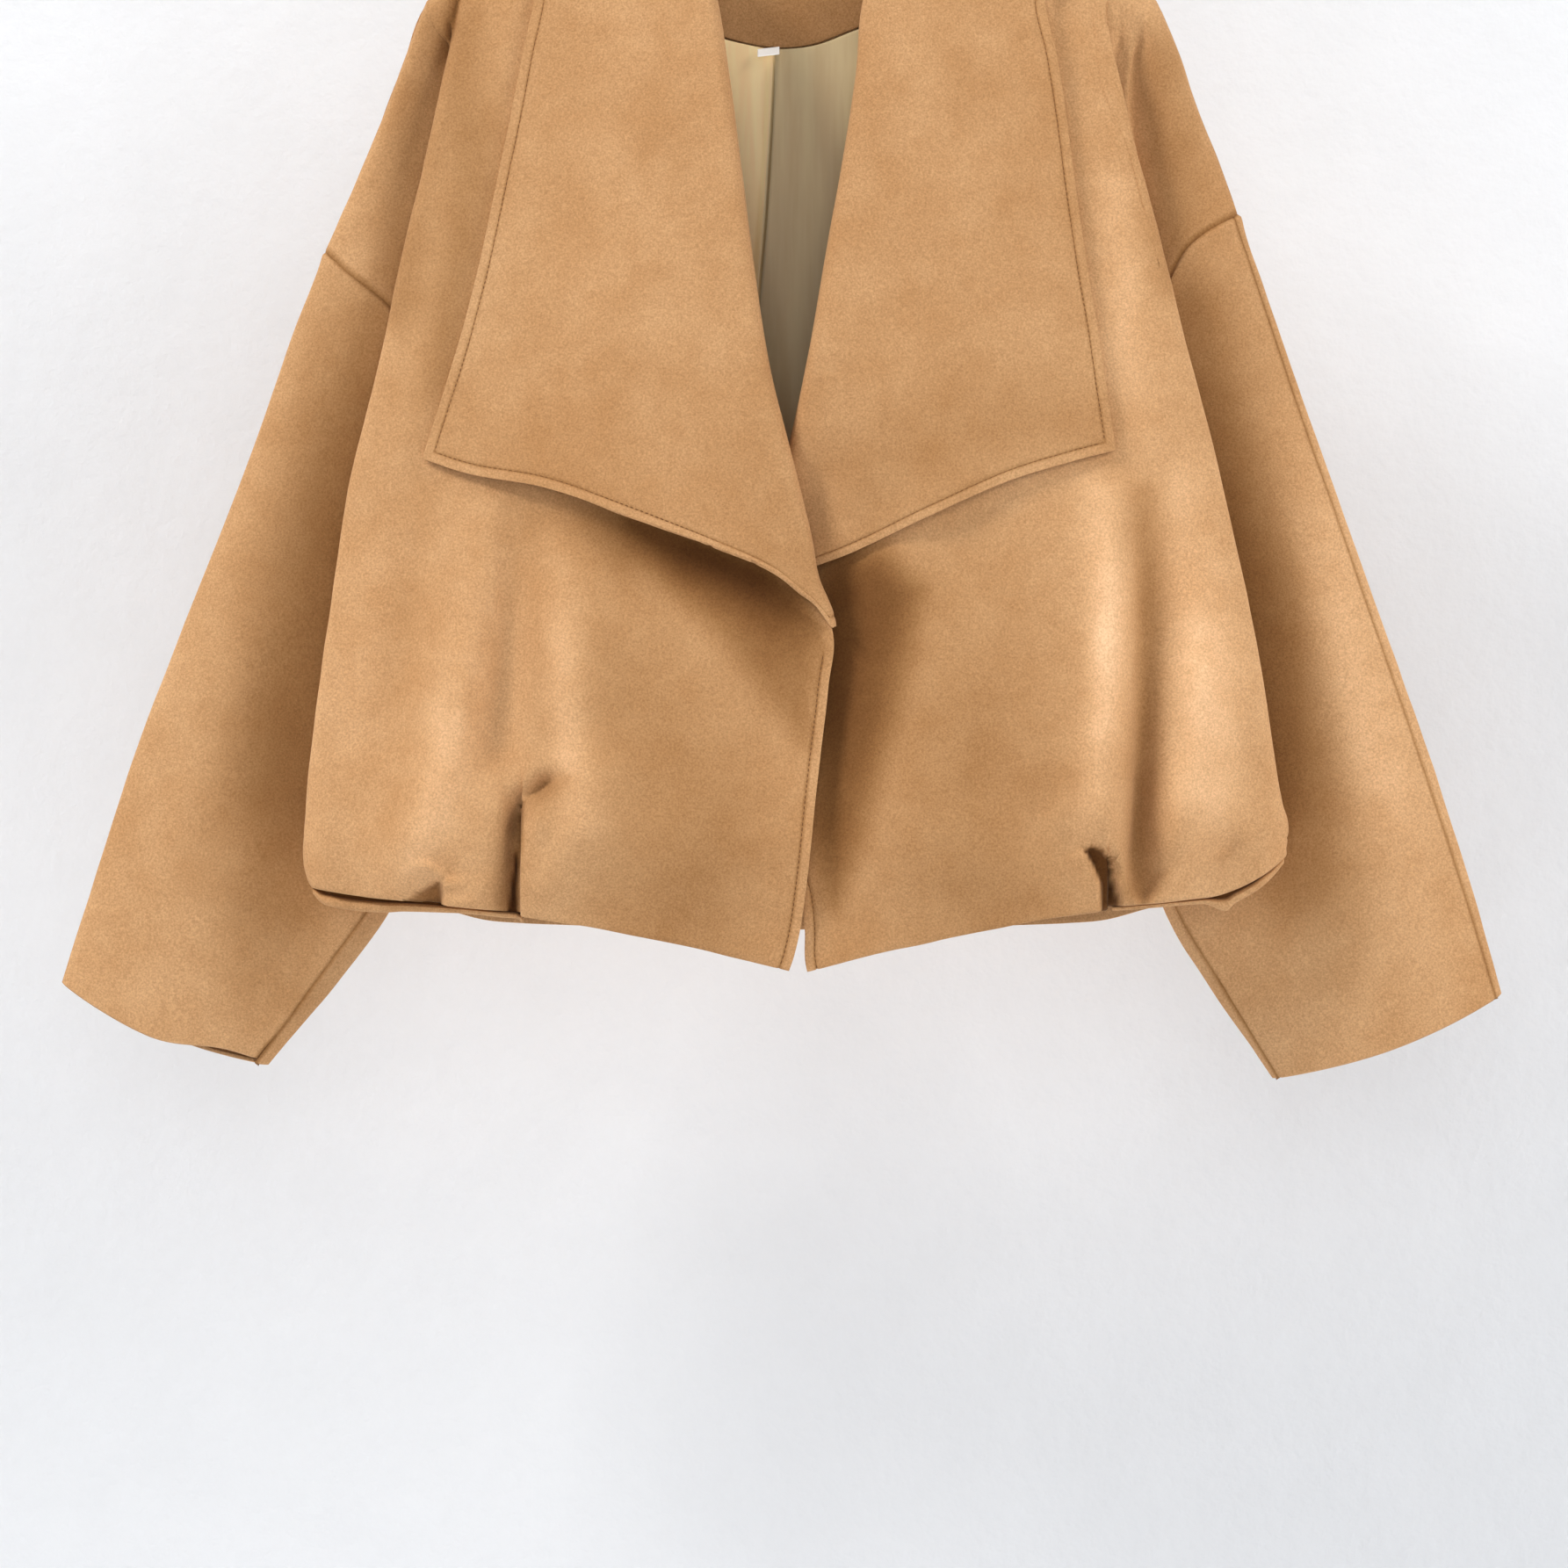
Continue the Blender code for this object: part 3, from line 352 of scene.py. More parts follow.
BACK_ACROSS = (0, 0.12, 0.2, 0.25, 0.3, 0.44, 0.57, 0.65, 0.7375, 0.825, 0.9125, 1.0)
BACK_ROWS = (
    0, 0.0003, 0.0036, 0.0125, 0.035, 0.06, 0.125, 0.21, 0.31, 0.40, 0.5, 0.6, 0.7, 0.8, 0.88, 0.95, 1.0,
)
BACK_STRIPS = ("back_left", "back", "back_right")
NECK_SHARES = (0, 0.12, 0.2, 0.25, 0.3)
NECK_SHARE = NECK_SHARES[-1]
BACK_HEM_DROP, BACK_HEM_DIP = 690.0, 10.0
# Half depth of the back at the armhole: share of the way from the shoulder's tip to the underarm, y.
BACK_ARMHOLE_Y = [(0.12, 8), (0.35, 13), (0.65, 11), (0.88, 4), (1, -3)]
NECKLINE = [(0, 92, 9.5), (40, 90.5, 9.2), (62, 86, 8.6), (71, 83, 6.3), (80, 84, 0.3)]
# Soft folds of the back: x, drop at the top, x, drop at the foot, width, height.
BACK_FOLDS = [
    (-120, 190, -150, 520, 26, 5), (110, 210, 150, 560, 24, 5),
    (-30, 330, -44, 660, 30, 4), (58, 420, 66, 680, 22, 5),
    (-150, 600, -146, 690, 16, -6), (140, 590, 138, 690, 16, -6),
]


def coons(top, foot, left, right, u, v):
    """Point of the patch between four edges: top and foot run with u, left and right with v."""
    rows = top(u) * (1 - v) + foot(u) * v
    columns = left(v) * (1 - u) + right(v) * u
    corners = (top(0) * (1 - u) + top(1) * u) * (1 - v) + (foot(0) * (1 - u) + foot(1) * u) * v
    return rows + columns - corners


def back_half(side):
    """Point functions of half the back, from its centre (u 0) to its side (u 1)."""
    def top(u):
        if u < NECK_SHARE:
            return Vector([float(np.interp(u, NECK_SHARES, column)) for column in list(zip(*NECKLINE))[:2]])
        turn = ARM_END_DROP + (3 + HIDDEN_STATIONS) * FLAT_FALL
        tip = SHOULDER_TIP[side][1]
        stops = [(NECK_SHARE, NECK_DROP), (0.57, ARM_END_DROP), (0.65, turn), (1, tip)]
        drop = float(np.interp(u, *zip(*stops)))
        if drop < ARM_END_DROP:
            return Vector((NECK_X + (drop - NECK_DROP) / SHOULDER_SLOPE, drop))
        return Vector((along(SHOULDER_EDGE[side], drop), drop))

    def foot(u):
        reach = along(SIDE_SEAM[side], BACK_HEM_DROP)
        return Vector((reach * u, BACK_HEM_DROP + BACK_HEM_DIP * (1 - u * u)))

    def centre(v):
        return Vector((0, mix(CENTRE_BACK_NECK_DROP, BACK_HEM_DROP + BACK_HEM_DIP, v)))

    def edge(v):
        reach, drop, _ = side_place(side, 2 * v)
        return Vector((reach, drop))

    return top, foot, centre, edge


def back_armhole_y(share):
    if share < BACK_ARMHOLE_Y[0][0]:
        return mix(-OVER_ARM_Y[0], BACK_ARMHOLE_Y[0][1], (share / BACK_ARMHOLE_Y[0][0]) ** 0.35)
    return along(BACK_ARMHOLE_Y, share)


def back_y(side, row, u, x, drop):
    v = BACK_ROWS[row]
    middle = along(DEPTH, drop, 2) + relief(BACK_FOLDS, x, drop)
    at_side = back_armhole_y(2 * v) if v <= 0.5 else side_place(side, 2 * v)[2]
    y = mix(middle, at_side, u ** (3.5 if v > 0.5 else 2.2))
    if row >= len(OVER_ARM_Y):
        return max(y, 9.4) if row == len(OVER_ARM_Y) and u < 0.6 else y
    at_neck = float(np.interp(u, NECK_SHARES, [y for _, _, y in NECKLINE])) if u < NECK_SHARE else 0
    return max(at_neck, min(-OVER_ARM_Y[row], max(at_side, mix(9, at_side, ease((u - 0.57) * 3)))))


def back_grid():
    rows = []
    for row, v in enumerate(BACK_ROWS):
        halves = {}
        for side in (LEFT, RIGHT):
            edges = back_half(side)
            halves[side] = []
            for u in BACK_ACROSS:
                reach, drop = coons(*edges, u, v)
                x = side * reach
                halves[side].append((x, back_y(side, row, u, x, drop), drop))
        rows.append(halves[LEFT][:0:-1] + halves[RIGHT])
    rows = curl_rows(rows, lambda i: (0.0, -1.0), lambda i: 9.0)
    return trim_sides(rows, 3 * SEAM)


def pull(point, towards, distance):
    point, towards = Vector(point), Vector(towards)
    return tuple(point + (towards - point).normalized() * distance)


def trim_sides(rows, gap):
    """The grid with its first and last columns drawn in, to leave a seam's gap."""
    return [[pull(row[0], row[1], gap)] + row[1:-1] + [pull(row[-1], row[-2], gap)] for row in rows]


def trim_top(rows, gap):
    return [[pull(a, b, gap) for a, b in zip(rows[0], rows[1])]] + rows[1:]


# Sleeves. Outer edge: drop, reach, y. Inner edge, from the underarm: drop, reach, y.
SLEEVE_OUTER = {
    LEFT: [(287, 290.5, 0), (349, 315, 5), (402, 333.7, 8), (457, 355, 10), (507, 374, 11), (566, 399, 11),
           (621, 417, 10), (740, 455, 8)],
    RIGHT: [(264, 273.6, 0), (333, 299, 5), (404, 324, 8), (473, 349, 10), (541, 373.7, 11), (620, 402, 11),
            (694, 424, 10), (747, 438.5, 8)],
}
SLEEVE_INNER = {
    LEFT: [(470, 190, -7), (490, 197, 3), (540, 211, 13), (620, 229, 15), (698, 253, 14), (745, 290, 12),
           (791, 328, 10)],
    RIGHT: [(470, 190, -7), (490, 196, 3), (540, 207, 13), (600, 216, 15), (640, 221, 15), (698, 232, 14),
            (750, 264, 12), (799, 298, 10)],
}
# Half thickness of a sleeve: share of its length, half thickness.
SLEEVE_HALF = [(0, 10), (0.15, 13), (0.4, 15), (0.7, 14), (1, 11)]
# The back half is fuller than the front one.
BACK_FULLER = 1.35
CUFF_SAG, CUFF_STEP = 7.0, {LEFT: 6.0, RIGHT: 1.0}
SLEEVE_ROWS = (0, 0.04, 0.12, 0.24, 0.38, 0.53, 0.68, 0.84, 1)
# Soft folds of the sleeves' fronts: x, drop at the top, x, drop at the foot, width, height.
SLEEVE_FOLDS = [(-330, 430, -372, 640, 20, 3), (-300, 640, -330, 760, 22, -2), (322, 420, 352, 600, 20, 3),
                (330, 640, 352, 770, 24, 2)]


def sleeve_point(side, s, v, face):
    """Point of a sleeve: s from its outer to its inner edge, v from armhole to cuff, face -1 in front."""
    outer, inner = SLEEVE_OUTER[side], SLEEVE_INNER[side]
    tip, cuff = SHOULDER_TIP[side][1], outer[-1][0]

    def armhole(s):
        reach, drop, _ = side_place(side, s)
        return Vector((reach, drop))

    def outer_edge(v):
        drop = mix(tip, cuff, v)
        return Vector((along(outer, drop), drop))

    def inner_edge(v):
        drop = mix(UNDERARM_DROP, inner[-1][0], v)
        return Vector((along(inner, drop), drop))

    def cuff_edge(s):
        start, end = outer_edge(1), inner_edge(1)
        run = end - start
        sag = CUFF_SAG * 4 * s * (1 - s)
        short = CUFF_STEP[side] * ease((s - 0.45) / 0.4) if face < 0 else 0
        return start + run * s + Vector((sag * 0.35, sag)) - Vector((0, short))

    reach, drop = coons(armhole, cuff_edge, outer_edge, inner_edge, s, v)
    middle = mix(along(outer, mix(tip, cuff, v), 2), along(inner, mix(UNDERARM_DROP, inner[-1][0], v), 2), s)
    swell = along(SLEEVE_HALF, v) * math.sqrt(max(0.0, 4 * s * (1 - s)))
    if face < 0:
        tube = middle - swell - relief(SLEEVE_FOLDS, side * reach, drop)
        at_armhole = side_place(side, s)[2] + 3 * ease((s - 0.7) / 0.3)
    else:
        tube = middle + swell * BACK_FULLER
        at_armhole = back_armhole_y(s)
    return (side * reach, mix(at_armhole, tube, ease(v / 0.16)), drop)


ROLL_GAP = 1.0
# Radius of the roll where a front turns back as its revers: drop, radius. Below, the edge is plain.
ROLL_RADIUS = {
    LEFT: [(84, 5), (250, 6.5), (400, 6), (480, 4.6), (523, 2.6), (532, 0.2), (740, 0.2)],
    RIGHT: [(84, 5), (250, 6), (400, 5), (470, 4), (505, 2.6), (515, 0.2), (740, 0.2)],
}
# The collar from centre back: seam to the neck x, drop, y; fold x, drop, y; outer edge x, drop, y.
COLLAR = [
    (0.3, 91.2, 9.6, 0.3, 40, 21, 0.3, 142, 22), (26, 90.6, 9.6, 26, 41, 20, 46, 141, 21.5),
    (52, 87.4, 9.2, 48, 46, 15, 92, 134, 19.5), (66, 83.4, 7.6, 64, 56, 6, 131, 116, 19),
    (76.5, 81.4, 1, 69, 68, -4, 153, 96.5, 6), (72.2, 88, -9, 65, 88, -17, 158, 105.5, -10.8),
    (61.5, 101, -12.5, 55, 112, -22, 160, 120, -15.5),
]
# Rows of a revers: drop on the roll line, drop on its outer edge, how far it stands off its front.
REVERS_ROWS = {
    LEFT: [(135, 135, 1), (182, 167, 1), (236, 205, 1), (298, 246, 2), (362, 293, 4), (420, 336, 6),
           (464, 370, 8), (494, 392, 10), (509, 405, 11), (518, 413, 12), (522.5, 418, 12)],
    RIGHT: [(135, 135, 1), (182, 167, 1), (236, 205, 1), (296, 246, 2), (355, 293, 2), (408, 336, 3),
            (450, 370, 4), (480, 390, 5), (494, 402, 6), (501, 409, 6), (504.5, 413, 6)],
}
REVERS_OUTER = {
    LEFT: [(135, 161), (169, 168), (206, 174.6), (237, 181), (271, 187.6), (300, 194), (340, 204),
           (380, 216), (418, 228)],
    RIGHT: [(135, 154.4), (166, 160.8), (197, 165.8), (234, 169.6), (265, 175), (300, 179), (329, 184),
            (413, 196)],
}
# Foot of a revers: share of the way from its roll to its corner, height above the straight line.
REVERS_FOOT = {
    LEFT: [(0, 0), (0.03, 9), (0.06, 15), (0.115, 20), (0.2, 22.5), (0.345, 20), (0.665, 13.6), (0.76, 11),
           (0.9, 1.5), (1, 0)],
    RIGHT: [(0, 0), (0.06, 4), (0.18, 4), (0.37, 3.3), (0.59, 8), (0.8, 6), (1, 0)],
}
REVERS_REST = 4.0
# Stations round the roll, in radii: outward from its tip, forward of the front.
ROLL_STATIONS = ((1.0, 0.0), (0.3, 0.3), (0.0, 1.0), (0.3, 1.7), (1.0, 2.0))
FALL = (0.12, 0.28, 0.48, 0.7, 0.88, 1.0)


def collar_row(side, row):
    """A row of the collar round the neck: up its stand, over the fold and down to its outer edge."""
    seam, fold, outer = (Vector(COLLAR[row][i : i + 3]) for i in (0, 3, 6))
    stand = seam.lerp(fold, 0.55)
    away = (outer - fold).normalized()
    after = fold + away * 4 + (fold - seam).normalized() * -0.5
    points = [seam, stand, fold.lerp(stand, 0.12), fold, after]
    points += [after.lerp(outer, share) for share in FALL]
    return [(side * p.x, p.z, p.y) for p in points]


def revers_row(side, row):
    roll_drop, outer_drop, proud = REVERS_ROWS[side][row]
    tip_x = along(EDGE[side], roll_drop)
    radius = roll_radius(side, roll_drop)
    y0 = front_y(side, tip_x + side * radius, roll_drop)
    points = [(tip_x + side * out * radius, y0 - forward * radius, roll_drop)
              for out, forward in ROLL_STATIONS]
    start_x = tip_x + side * radius
    end_x = side * along(REVERS_OUTER[side], outer_drop)
    bow = (row / (len(REVERS_ROWS[side]) - 1)) ** 3
    for share in FALL:
        x = mix(start_x, end_x, share)
        drop = mix(roll_drop, outer_drop, share) - bow * along(REVERS_FOOT[side], share)
        lift = mix(2 * radius, REVERS_REST, min(1, share * 1.4)) + proud * math.sin(math.pi * share**0.7)
        points.append((x, front_y(side, x, drop) - max(lift, REVERS_REST), drop))
    return points


def lapel_grid(side):
    """One half of the shawl collar: round the neck from centre back, then down the front as the revers."""
    rows = [collar_row(side, row) for row in range(len(COLLAR))]
    rows += [revers_row(side, row) for row in range(len(REVERS_ROWS[side]))]
    return [[pull(row[0], row[1], SEAM)] + row[1:] for row in rows]


FACING_OFF_BACK, LINING_OFF_BACK, LABEL_OFF_BACK = 3.6, 3.8, 5.6
FACING_DROPS = (98, 108, 122, 140, 158.6)
LINING_DROPS = (160.0, 175, 220, 290, 370, 475)
LINING_SHARES = (-1, -0.6, "pleat out", "pleat", "pleat in", 0.25, 0.6, 1)
LINING_REACH, FACING_REACH = 92.0, 74.0
LINING_PLEAT_TOP_X, LINING_PLEAT_FOOT_X = -13.5, -26.0
INSIDE_BOW = 0.0009


def inside_back(x, drop, gap):
    return along(DEPTH, drop, 2) + relief(BACK_FOLDS, x, drop) - INSIDE_BOW * x * x - gap


def facing_seam(x):
    """Drop of the curved seam between the neck facing and the lining."""
    return FACING_DROPS[-1] - 0.0035 * x * x


def facing_grid():
    rows = []
    for drop in FACING_DROPS:
        low = (drop - FACING_DROPS[0]) / (FACING_DROPS[-1] - FACING_DROPS[0])
        row = []
        for i in range(9):
            x = (i / 4 - 1) * FACING_REACH * mix(0.72, 1, low)
            at = mix(drop, drop + facing_seam(x) - FACING_DROPS[-1], low) - (1 - low) * 0.002 * x * x
            row.append((x, inside_back(x, max(at, 96), FACING_OFF_BACK), at))
        rows.append(row)
    return rows


def lining_grid():
    rows = []
    for drop in LINING_DROPS:
        low = (drop - LINING_DROPS[0]) / (LINING_DROPS[-1] - LINING_DROPS[0])
        pleat = mix(LINING_PLEAT_TOP_X, LINING_PLEAT_FOOT_X, low)
        row = []
        for share in LINING_SHARES:
            step = {"pleat out": (-5, 0.0), "pleat": (0, 1.2), "pleat in": (1.5, -1.8)}.get(share)
            x = pleat + step[0] if step else share * LINING_REACH * mix(0.86, 1, low)
            top = facing_seam(x) - FACING_DROPS[-1]
            at = drop + top * (1 - low)
            off = (step[1] if step else 0) * ease(low * 12 + 0.2)
            row.append((x, inside_back(x, at, LINING_OFF_BACK + off), at))
        rows.append(row)
    return rows


LABEL_X, LABEL_WIDTH, LABEL_TOP, LABEL_DEEP = -16.4, 13.5, 158.8, 8.6


def label_grid():
    rows = []
    for drop in (LABEL_TOP, LABEL_TOP + LABEL_DEEP / 2, LABEL_TOP + LABEL_DEEP):
        columns = [LABEL_X + LABEL_WIDTH * share for share in (-0.5, 0, 0.5)]
        rows.append([(x, inside_back(x, drop, LABEL_OFF_BACK), drop) for x in columns])
    return rows


BAND_DEEP, BACK_BAND_REACH = 12.0, 245.0


def band_grid(foot):
    """A strip of the hem band, hanging under a tucked foot."""
    downs = (CLOTH / 2 + 1.2, BAND_DEEP / 2, BAND_DEEP)
    return [[(x, y, drop + down) for x, y, drop in foot] for down in downs]


HOOK_RADIUS, WIRE_RADIUS, HOOK_SHANK_END = 21.0, 1.8, 70.6
HOOK_POINTS = 14


def hook_route():
    """Centre line of the hook: its tip, round over the top and down to the wood."""
    centre = HOOK_RADIUS - WIRE_RADIUS
    arc = [math.radians(200 - 270 * i / HOOK_POINTS) for i in range(HOOK_POINTS + 1)]
    points = [(HOOK_RADIUS * math.cos(a), 0, centre - HOOK_RADIUS * math.sin(a)) for a in arc]
    neck = [(0, 0, centre + HOOK_RADIUS + 5), (0, 0, HOOK_SHANK_END)]
    return points[:-1] + neck


def arms_route():
    """Centre line of the hanger's arms, under the shoulder line by the arms' radius and the cloth."""
    under = (ARM_RADIUS + CLOTH / 2 + ARM_CLEARANCE) * math.hypot(1, SHOULDER_SLOPE)
    route = []
    for i in range(-10, 11):
        reach = ARM_REACH * abs(i) / 10
        bow = 6.0 * math.exp(-((reach / 34) ** 2))
        route.append((math.copysign(reach, i), 0, shoulder_drop(reach) + under + bow))
    return route


# Fine modelling.

FINE = 3.5
EDGE_FINE = 0.9
SUEDE_THICK, COLLAR_THICK, SATIN_THICK = 2.0, 2.4, 0.7
FACING_THICK, LIP_THICK, LABEL_THICK = 1.0, 1.4, 0.6
# A shell's rim is rounded by this share of its thickness where it turns by more than this many degrees.
RIM_SHARE, RIM_ANGLE, SMOOTH_ANGLE = 0.32, 62, 50


def as_array(rows):
    return np.array([[tuple(point) for point in row] for row in rows], float)


def refine(grid, step, finer=None):
    """More rows on smooth curves through the given ones, about a step apart, or closer where finer says."""
    chords = np.linalg.norm(np.diff(grid, axis=0), axis=2).mean(axis=1)
    places = np.concatenate([[0], np.cumsum(chords)])
    slopes = []
    for k in range(len(grid)):
        before, after = max(k - 1, 0), min(k + 1, len(grid) - 1)
        slopes.append((grid[after] - grid[before]) / (places[after] - places[before]))
    rows = []
    for i, chord in enumerate(chords):
        here = (finer or {}).get(i, (finer or {}).get(i - len(chords), step))
        pieces = max(1, round(chord / here))
        for t in np.arange(pieces) / pieces:
            stay, go, leave, arrive = curve_weights(t)
            bend = leave * chord * slopes[i] + arrive * chord * slopes[i + 1]
            rows.append(stay * grid[i] + go * grid[i + 1] + bend)
    return np.array(rows + [grid[-1]])


def refine_both(rows, step, down=None, across=None):
    grid = refine(as_array(rows), step, down)
    return refine(grid.transpose(1, 0, 2), step, across).transpose(1, 0, 2)


def finer_where(rows, wanted, step):
    """Spans between rows, or between columns when the grid is turned, whose middle point is wanted."""
    grid = as_array(rows)
    middles = (grid[1:] + grid[:-1]).mean(axis=1) / 2
    return {i: step for i, middle in enumerate(middles) if wanted(abs(middle[0]), middle[2])}


def crease_profile(x, drop, line, left, right):
    """Height that a crease gives: its own along the line, falling off by left and right of it."""
    best = np.full(x.shape, np.inf)
    height = np.zeros(x.shape)
    for (x0, drop0, h0), (x1, drop1, h1) in zip(line, line[1:]):
        run = np.array([x1 - x0, drop1 - drop0])
        size = np.linalg.norm(run)
        t = np.clip(((x - x0) * run[0] + (drop - drop0) * run[1]) / size**2, 0, 1)
        away = np.hypot(x - x0 - t * run[0], drop - drop0 - t * run[1])
        side = (x - x0) * run[1] - (drop - drop0) * run[0]
        width = np.where(side < 0, left, right)
        share = (away / width) ** 2
        nearer = share < best
        best = np.where(nearer, share, best)
        height = np.where(nearer, mix(h0, h1, ease(t)), height)
    return height * np.exp(-best)


def pressed(grid, creases):
    """The grid with its creases: each one's width to the left, to the right, and its points with heights."""
    lifted = grid.copy()
    for left, right, line in creases:
        lifted[:, :, 1] -= crease_profile(grid[:, :, 0], grid[:, :, 2], line, left, right)
    return lifted


def normals_of(grid):
    """Unit normals of a grid, towards the side that a viewer in front of the coat sees."""
    across = np.gradient(grid, axis=1)
    down = np.gradient(grid, axis=0)
    normal = np.cross(across, down)
    return normal / np.maximum(np.linalg.norm(normal, axis=2, keepdims=True), 1e-9)


def rough(x, drop, size, seed):
    """Smooth random height between about -1 and 1, with bumps of this size."""
    return noise.noise(Vector((x / size, drop / size, seed)))


def softened(grid, amount, seed, size=70.0):
    """Slight unevenness that hand-hung cloth has, along the normals."""
    normal = normals_of(grid)

    def height(x, drop):
        return rough(x * 1.6, drop * 0.7, size, seed) + 0.35 * rough(x, drop, size * 0.33, seed + 7)

    heights = np.array([[height(x, drop) for x, _, drop in row] for row in grid])
    return grid + normal * amount * heights[:, :, None]


# Topstitching: how far in from the edge, pitch, length and radius of a stitch, and the groove it pulls.
INSET, PITCH, STITCH_LONG, STITCH_RADIUS = 6.3, 3.3, 2.5, 0.4
GROOVE_DEEP, GROOVE_HALF, THREAD_PROUD = 0.55, 0.9, 0.05
STITCH_SHAPE, STITCH_TAPER = (0, 0.25, 0.75, 1), 0.5


def edge_first(grid, edge):
    """The grid turned so that this edge is its first row."""
    if edge in ("left", "right"):
        grid = grid.swapaxes(0, 1)
    return grid[::-1] if edge in ("right", "last") else grid


def edge_back(grid, edge):
    """Undoes edge_first."""
    if edge in ("right", "last"):
        grid = grid[::-1]
    return grid.swapaxes(0, 1) if edge in ("left", "right") else grid


def from_edge(grid, edge):
    """Distance of each point from one edge of the grid, along its row or column."""
    steps = np.linalg.norm(np.diff(edge_first(grid, edge), axis=0), axis=2)
    return edge_back(np.concatenate([np.zeros_like(steps[:1]), np.cumsum(steps, axis=0)]), edge)


def grooved(grid, facing, shares):
    """The grid with a stitched groove along its edges: edge name, and how much of it each point gets."""
    normal = normals_of(grid) * facing
    deep = np.zeros(grid.shape[:2])
    for edge, share in shares.items():
        here = np.exp(-(((from_edge(grid, edge) - INSET) / GROOVE_HALF) ** 2))
        deep = np.maximum(deep, GROOVE_DEEP * here * share)
    return grid - normal * deep[:, :, None]


def seam_line(grid, edge, facing, thick):
    """Points along the groove beside one edge, on the cloth's face."""
    face = (grid, normals_of(grid) * facing, from_edge(grid, edge))
    points, ups, away = (edge_first(part, edge) for part in face)
    height = thick / 2 + THREAD_PROUD - GROOVE_DEEP / 2
    line = []
    for i in range(points.shape[1]):
        place, up = (np.array([np.interp(INSET, away[:, i], part[:, i, axis]) for axis in range(3)])
                     for part in (points, ups))
        line.append(place + up * height)
    return np.array(line)


def stitches_along(line):
    """Short runs of points, one for each stitch of a line, evenly spaced."""
    steps = np.linalg.norm(np.diff(line, axis=0), axis=1)
    far = np.concatenate([[0], np.cumsum(steps)])
    made = []
    for start in np.arange(PITCH, far[-1] - PITCH, PITCH):
        places = start + np.array(STITCH_SHAPE) * STITCH_LONG
        made.append(np.stack([np.interp(places, far, line[:, i]) for i in range(3)], axis=1))
    return made


def bars(name, runs, kind, radius, roundness, finish):
    """Round bars along runs of points: smooth ones (NURBS), or short straight ones with thin ends (POLY)."""
    deselect()
    bpy.ops.curve.primitive_nurbs_path_add(location=(0, 0, 0))
    path = bpy.context.object
    path.name = path.data.name = name
    path.data.splines.clear()
    for run in runs:
        spline = path.data.splines.new(kind)
        spline.points.add(len(run) - 1)
        for point, (x, y, drop) in zip(spline.points, run):
            point.co = (x * MM, y * MM, -drop * MM, 1)
        if kind == "POLY":
            spline.points[0].radius = spline.points[-1].radius = STITCH_TAPER
        else:
            spline.use_endpoint_u = True
            spline.order_u = 3
            spline.resolution_u = 6
    path.data.bevel_depth = radius * MM
    path.data.bevel_resolution = roundness
    path.data.use_fill_caps = True
    bpy.ops.object.convert(target="MESH")
    return finished(bpy.context.object, finish)


ALLOWANCE_OUT, ALLOWANCE_DIP, ALLOWANCE_DEEP = 0.55, 0.9, 3.2


def with_allowance(grid, edge, facing):
    """The grid with a seam allowance: beyond this edge the cloth rolls over and turns in behind its face.

    facing is 1 where the grid's normals point out of the coat, and -1 where they point into it.
    """
    rows, normals = (edge_first(part, edge) for part in (grid, normals_of(grid) * facing))
    away = rows[0] - rows[1]
    away /= np.maximum(np.linalg.norm(away, axis=1, keepdims=True), 1e-9)
    turned = [rows[0] + away * ALLOWANCE_OUT - normals[0] * deep for deep in (ALLOWANCE_DEEP, ALLOWANCE_DIP)]
    return edge_back(np.concatenate([turned, rows]), edge)


def deselect():
    bpy.ops.object.select_all(action="DESELECT")


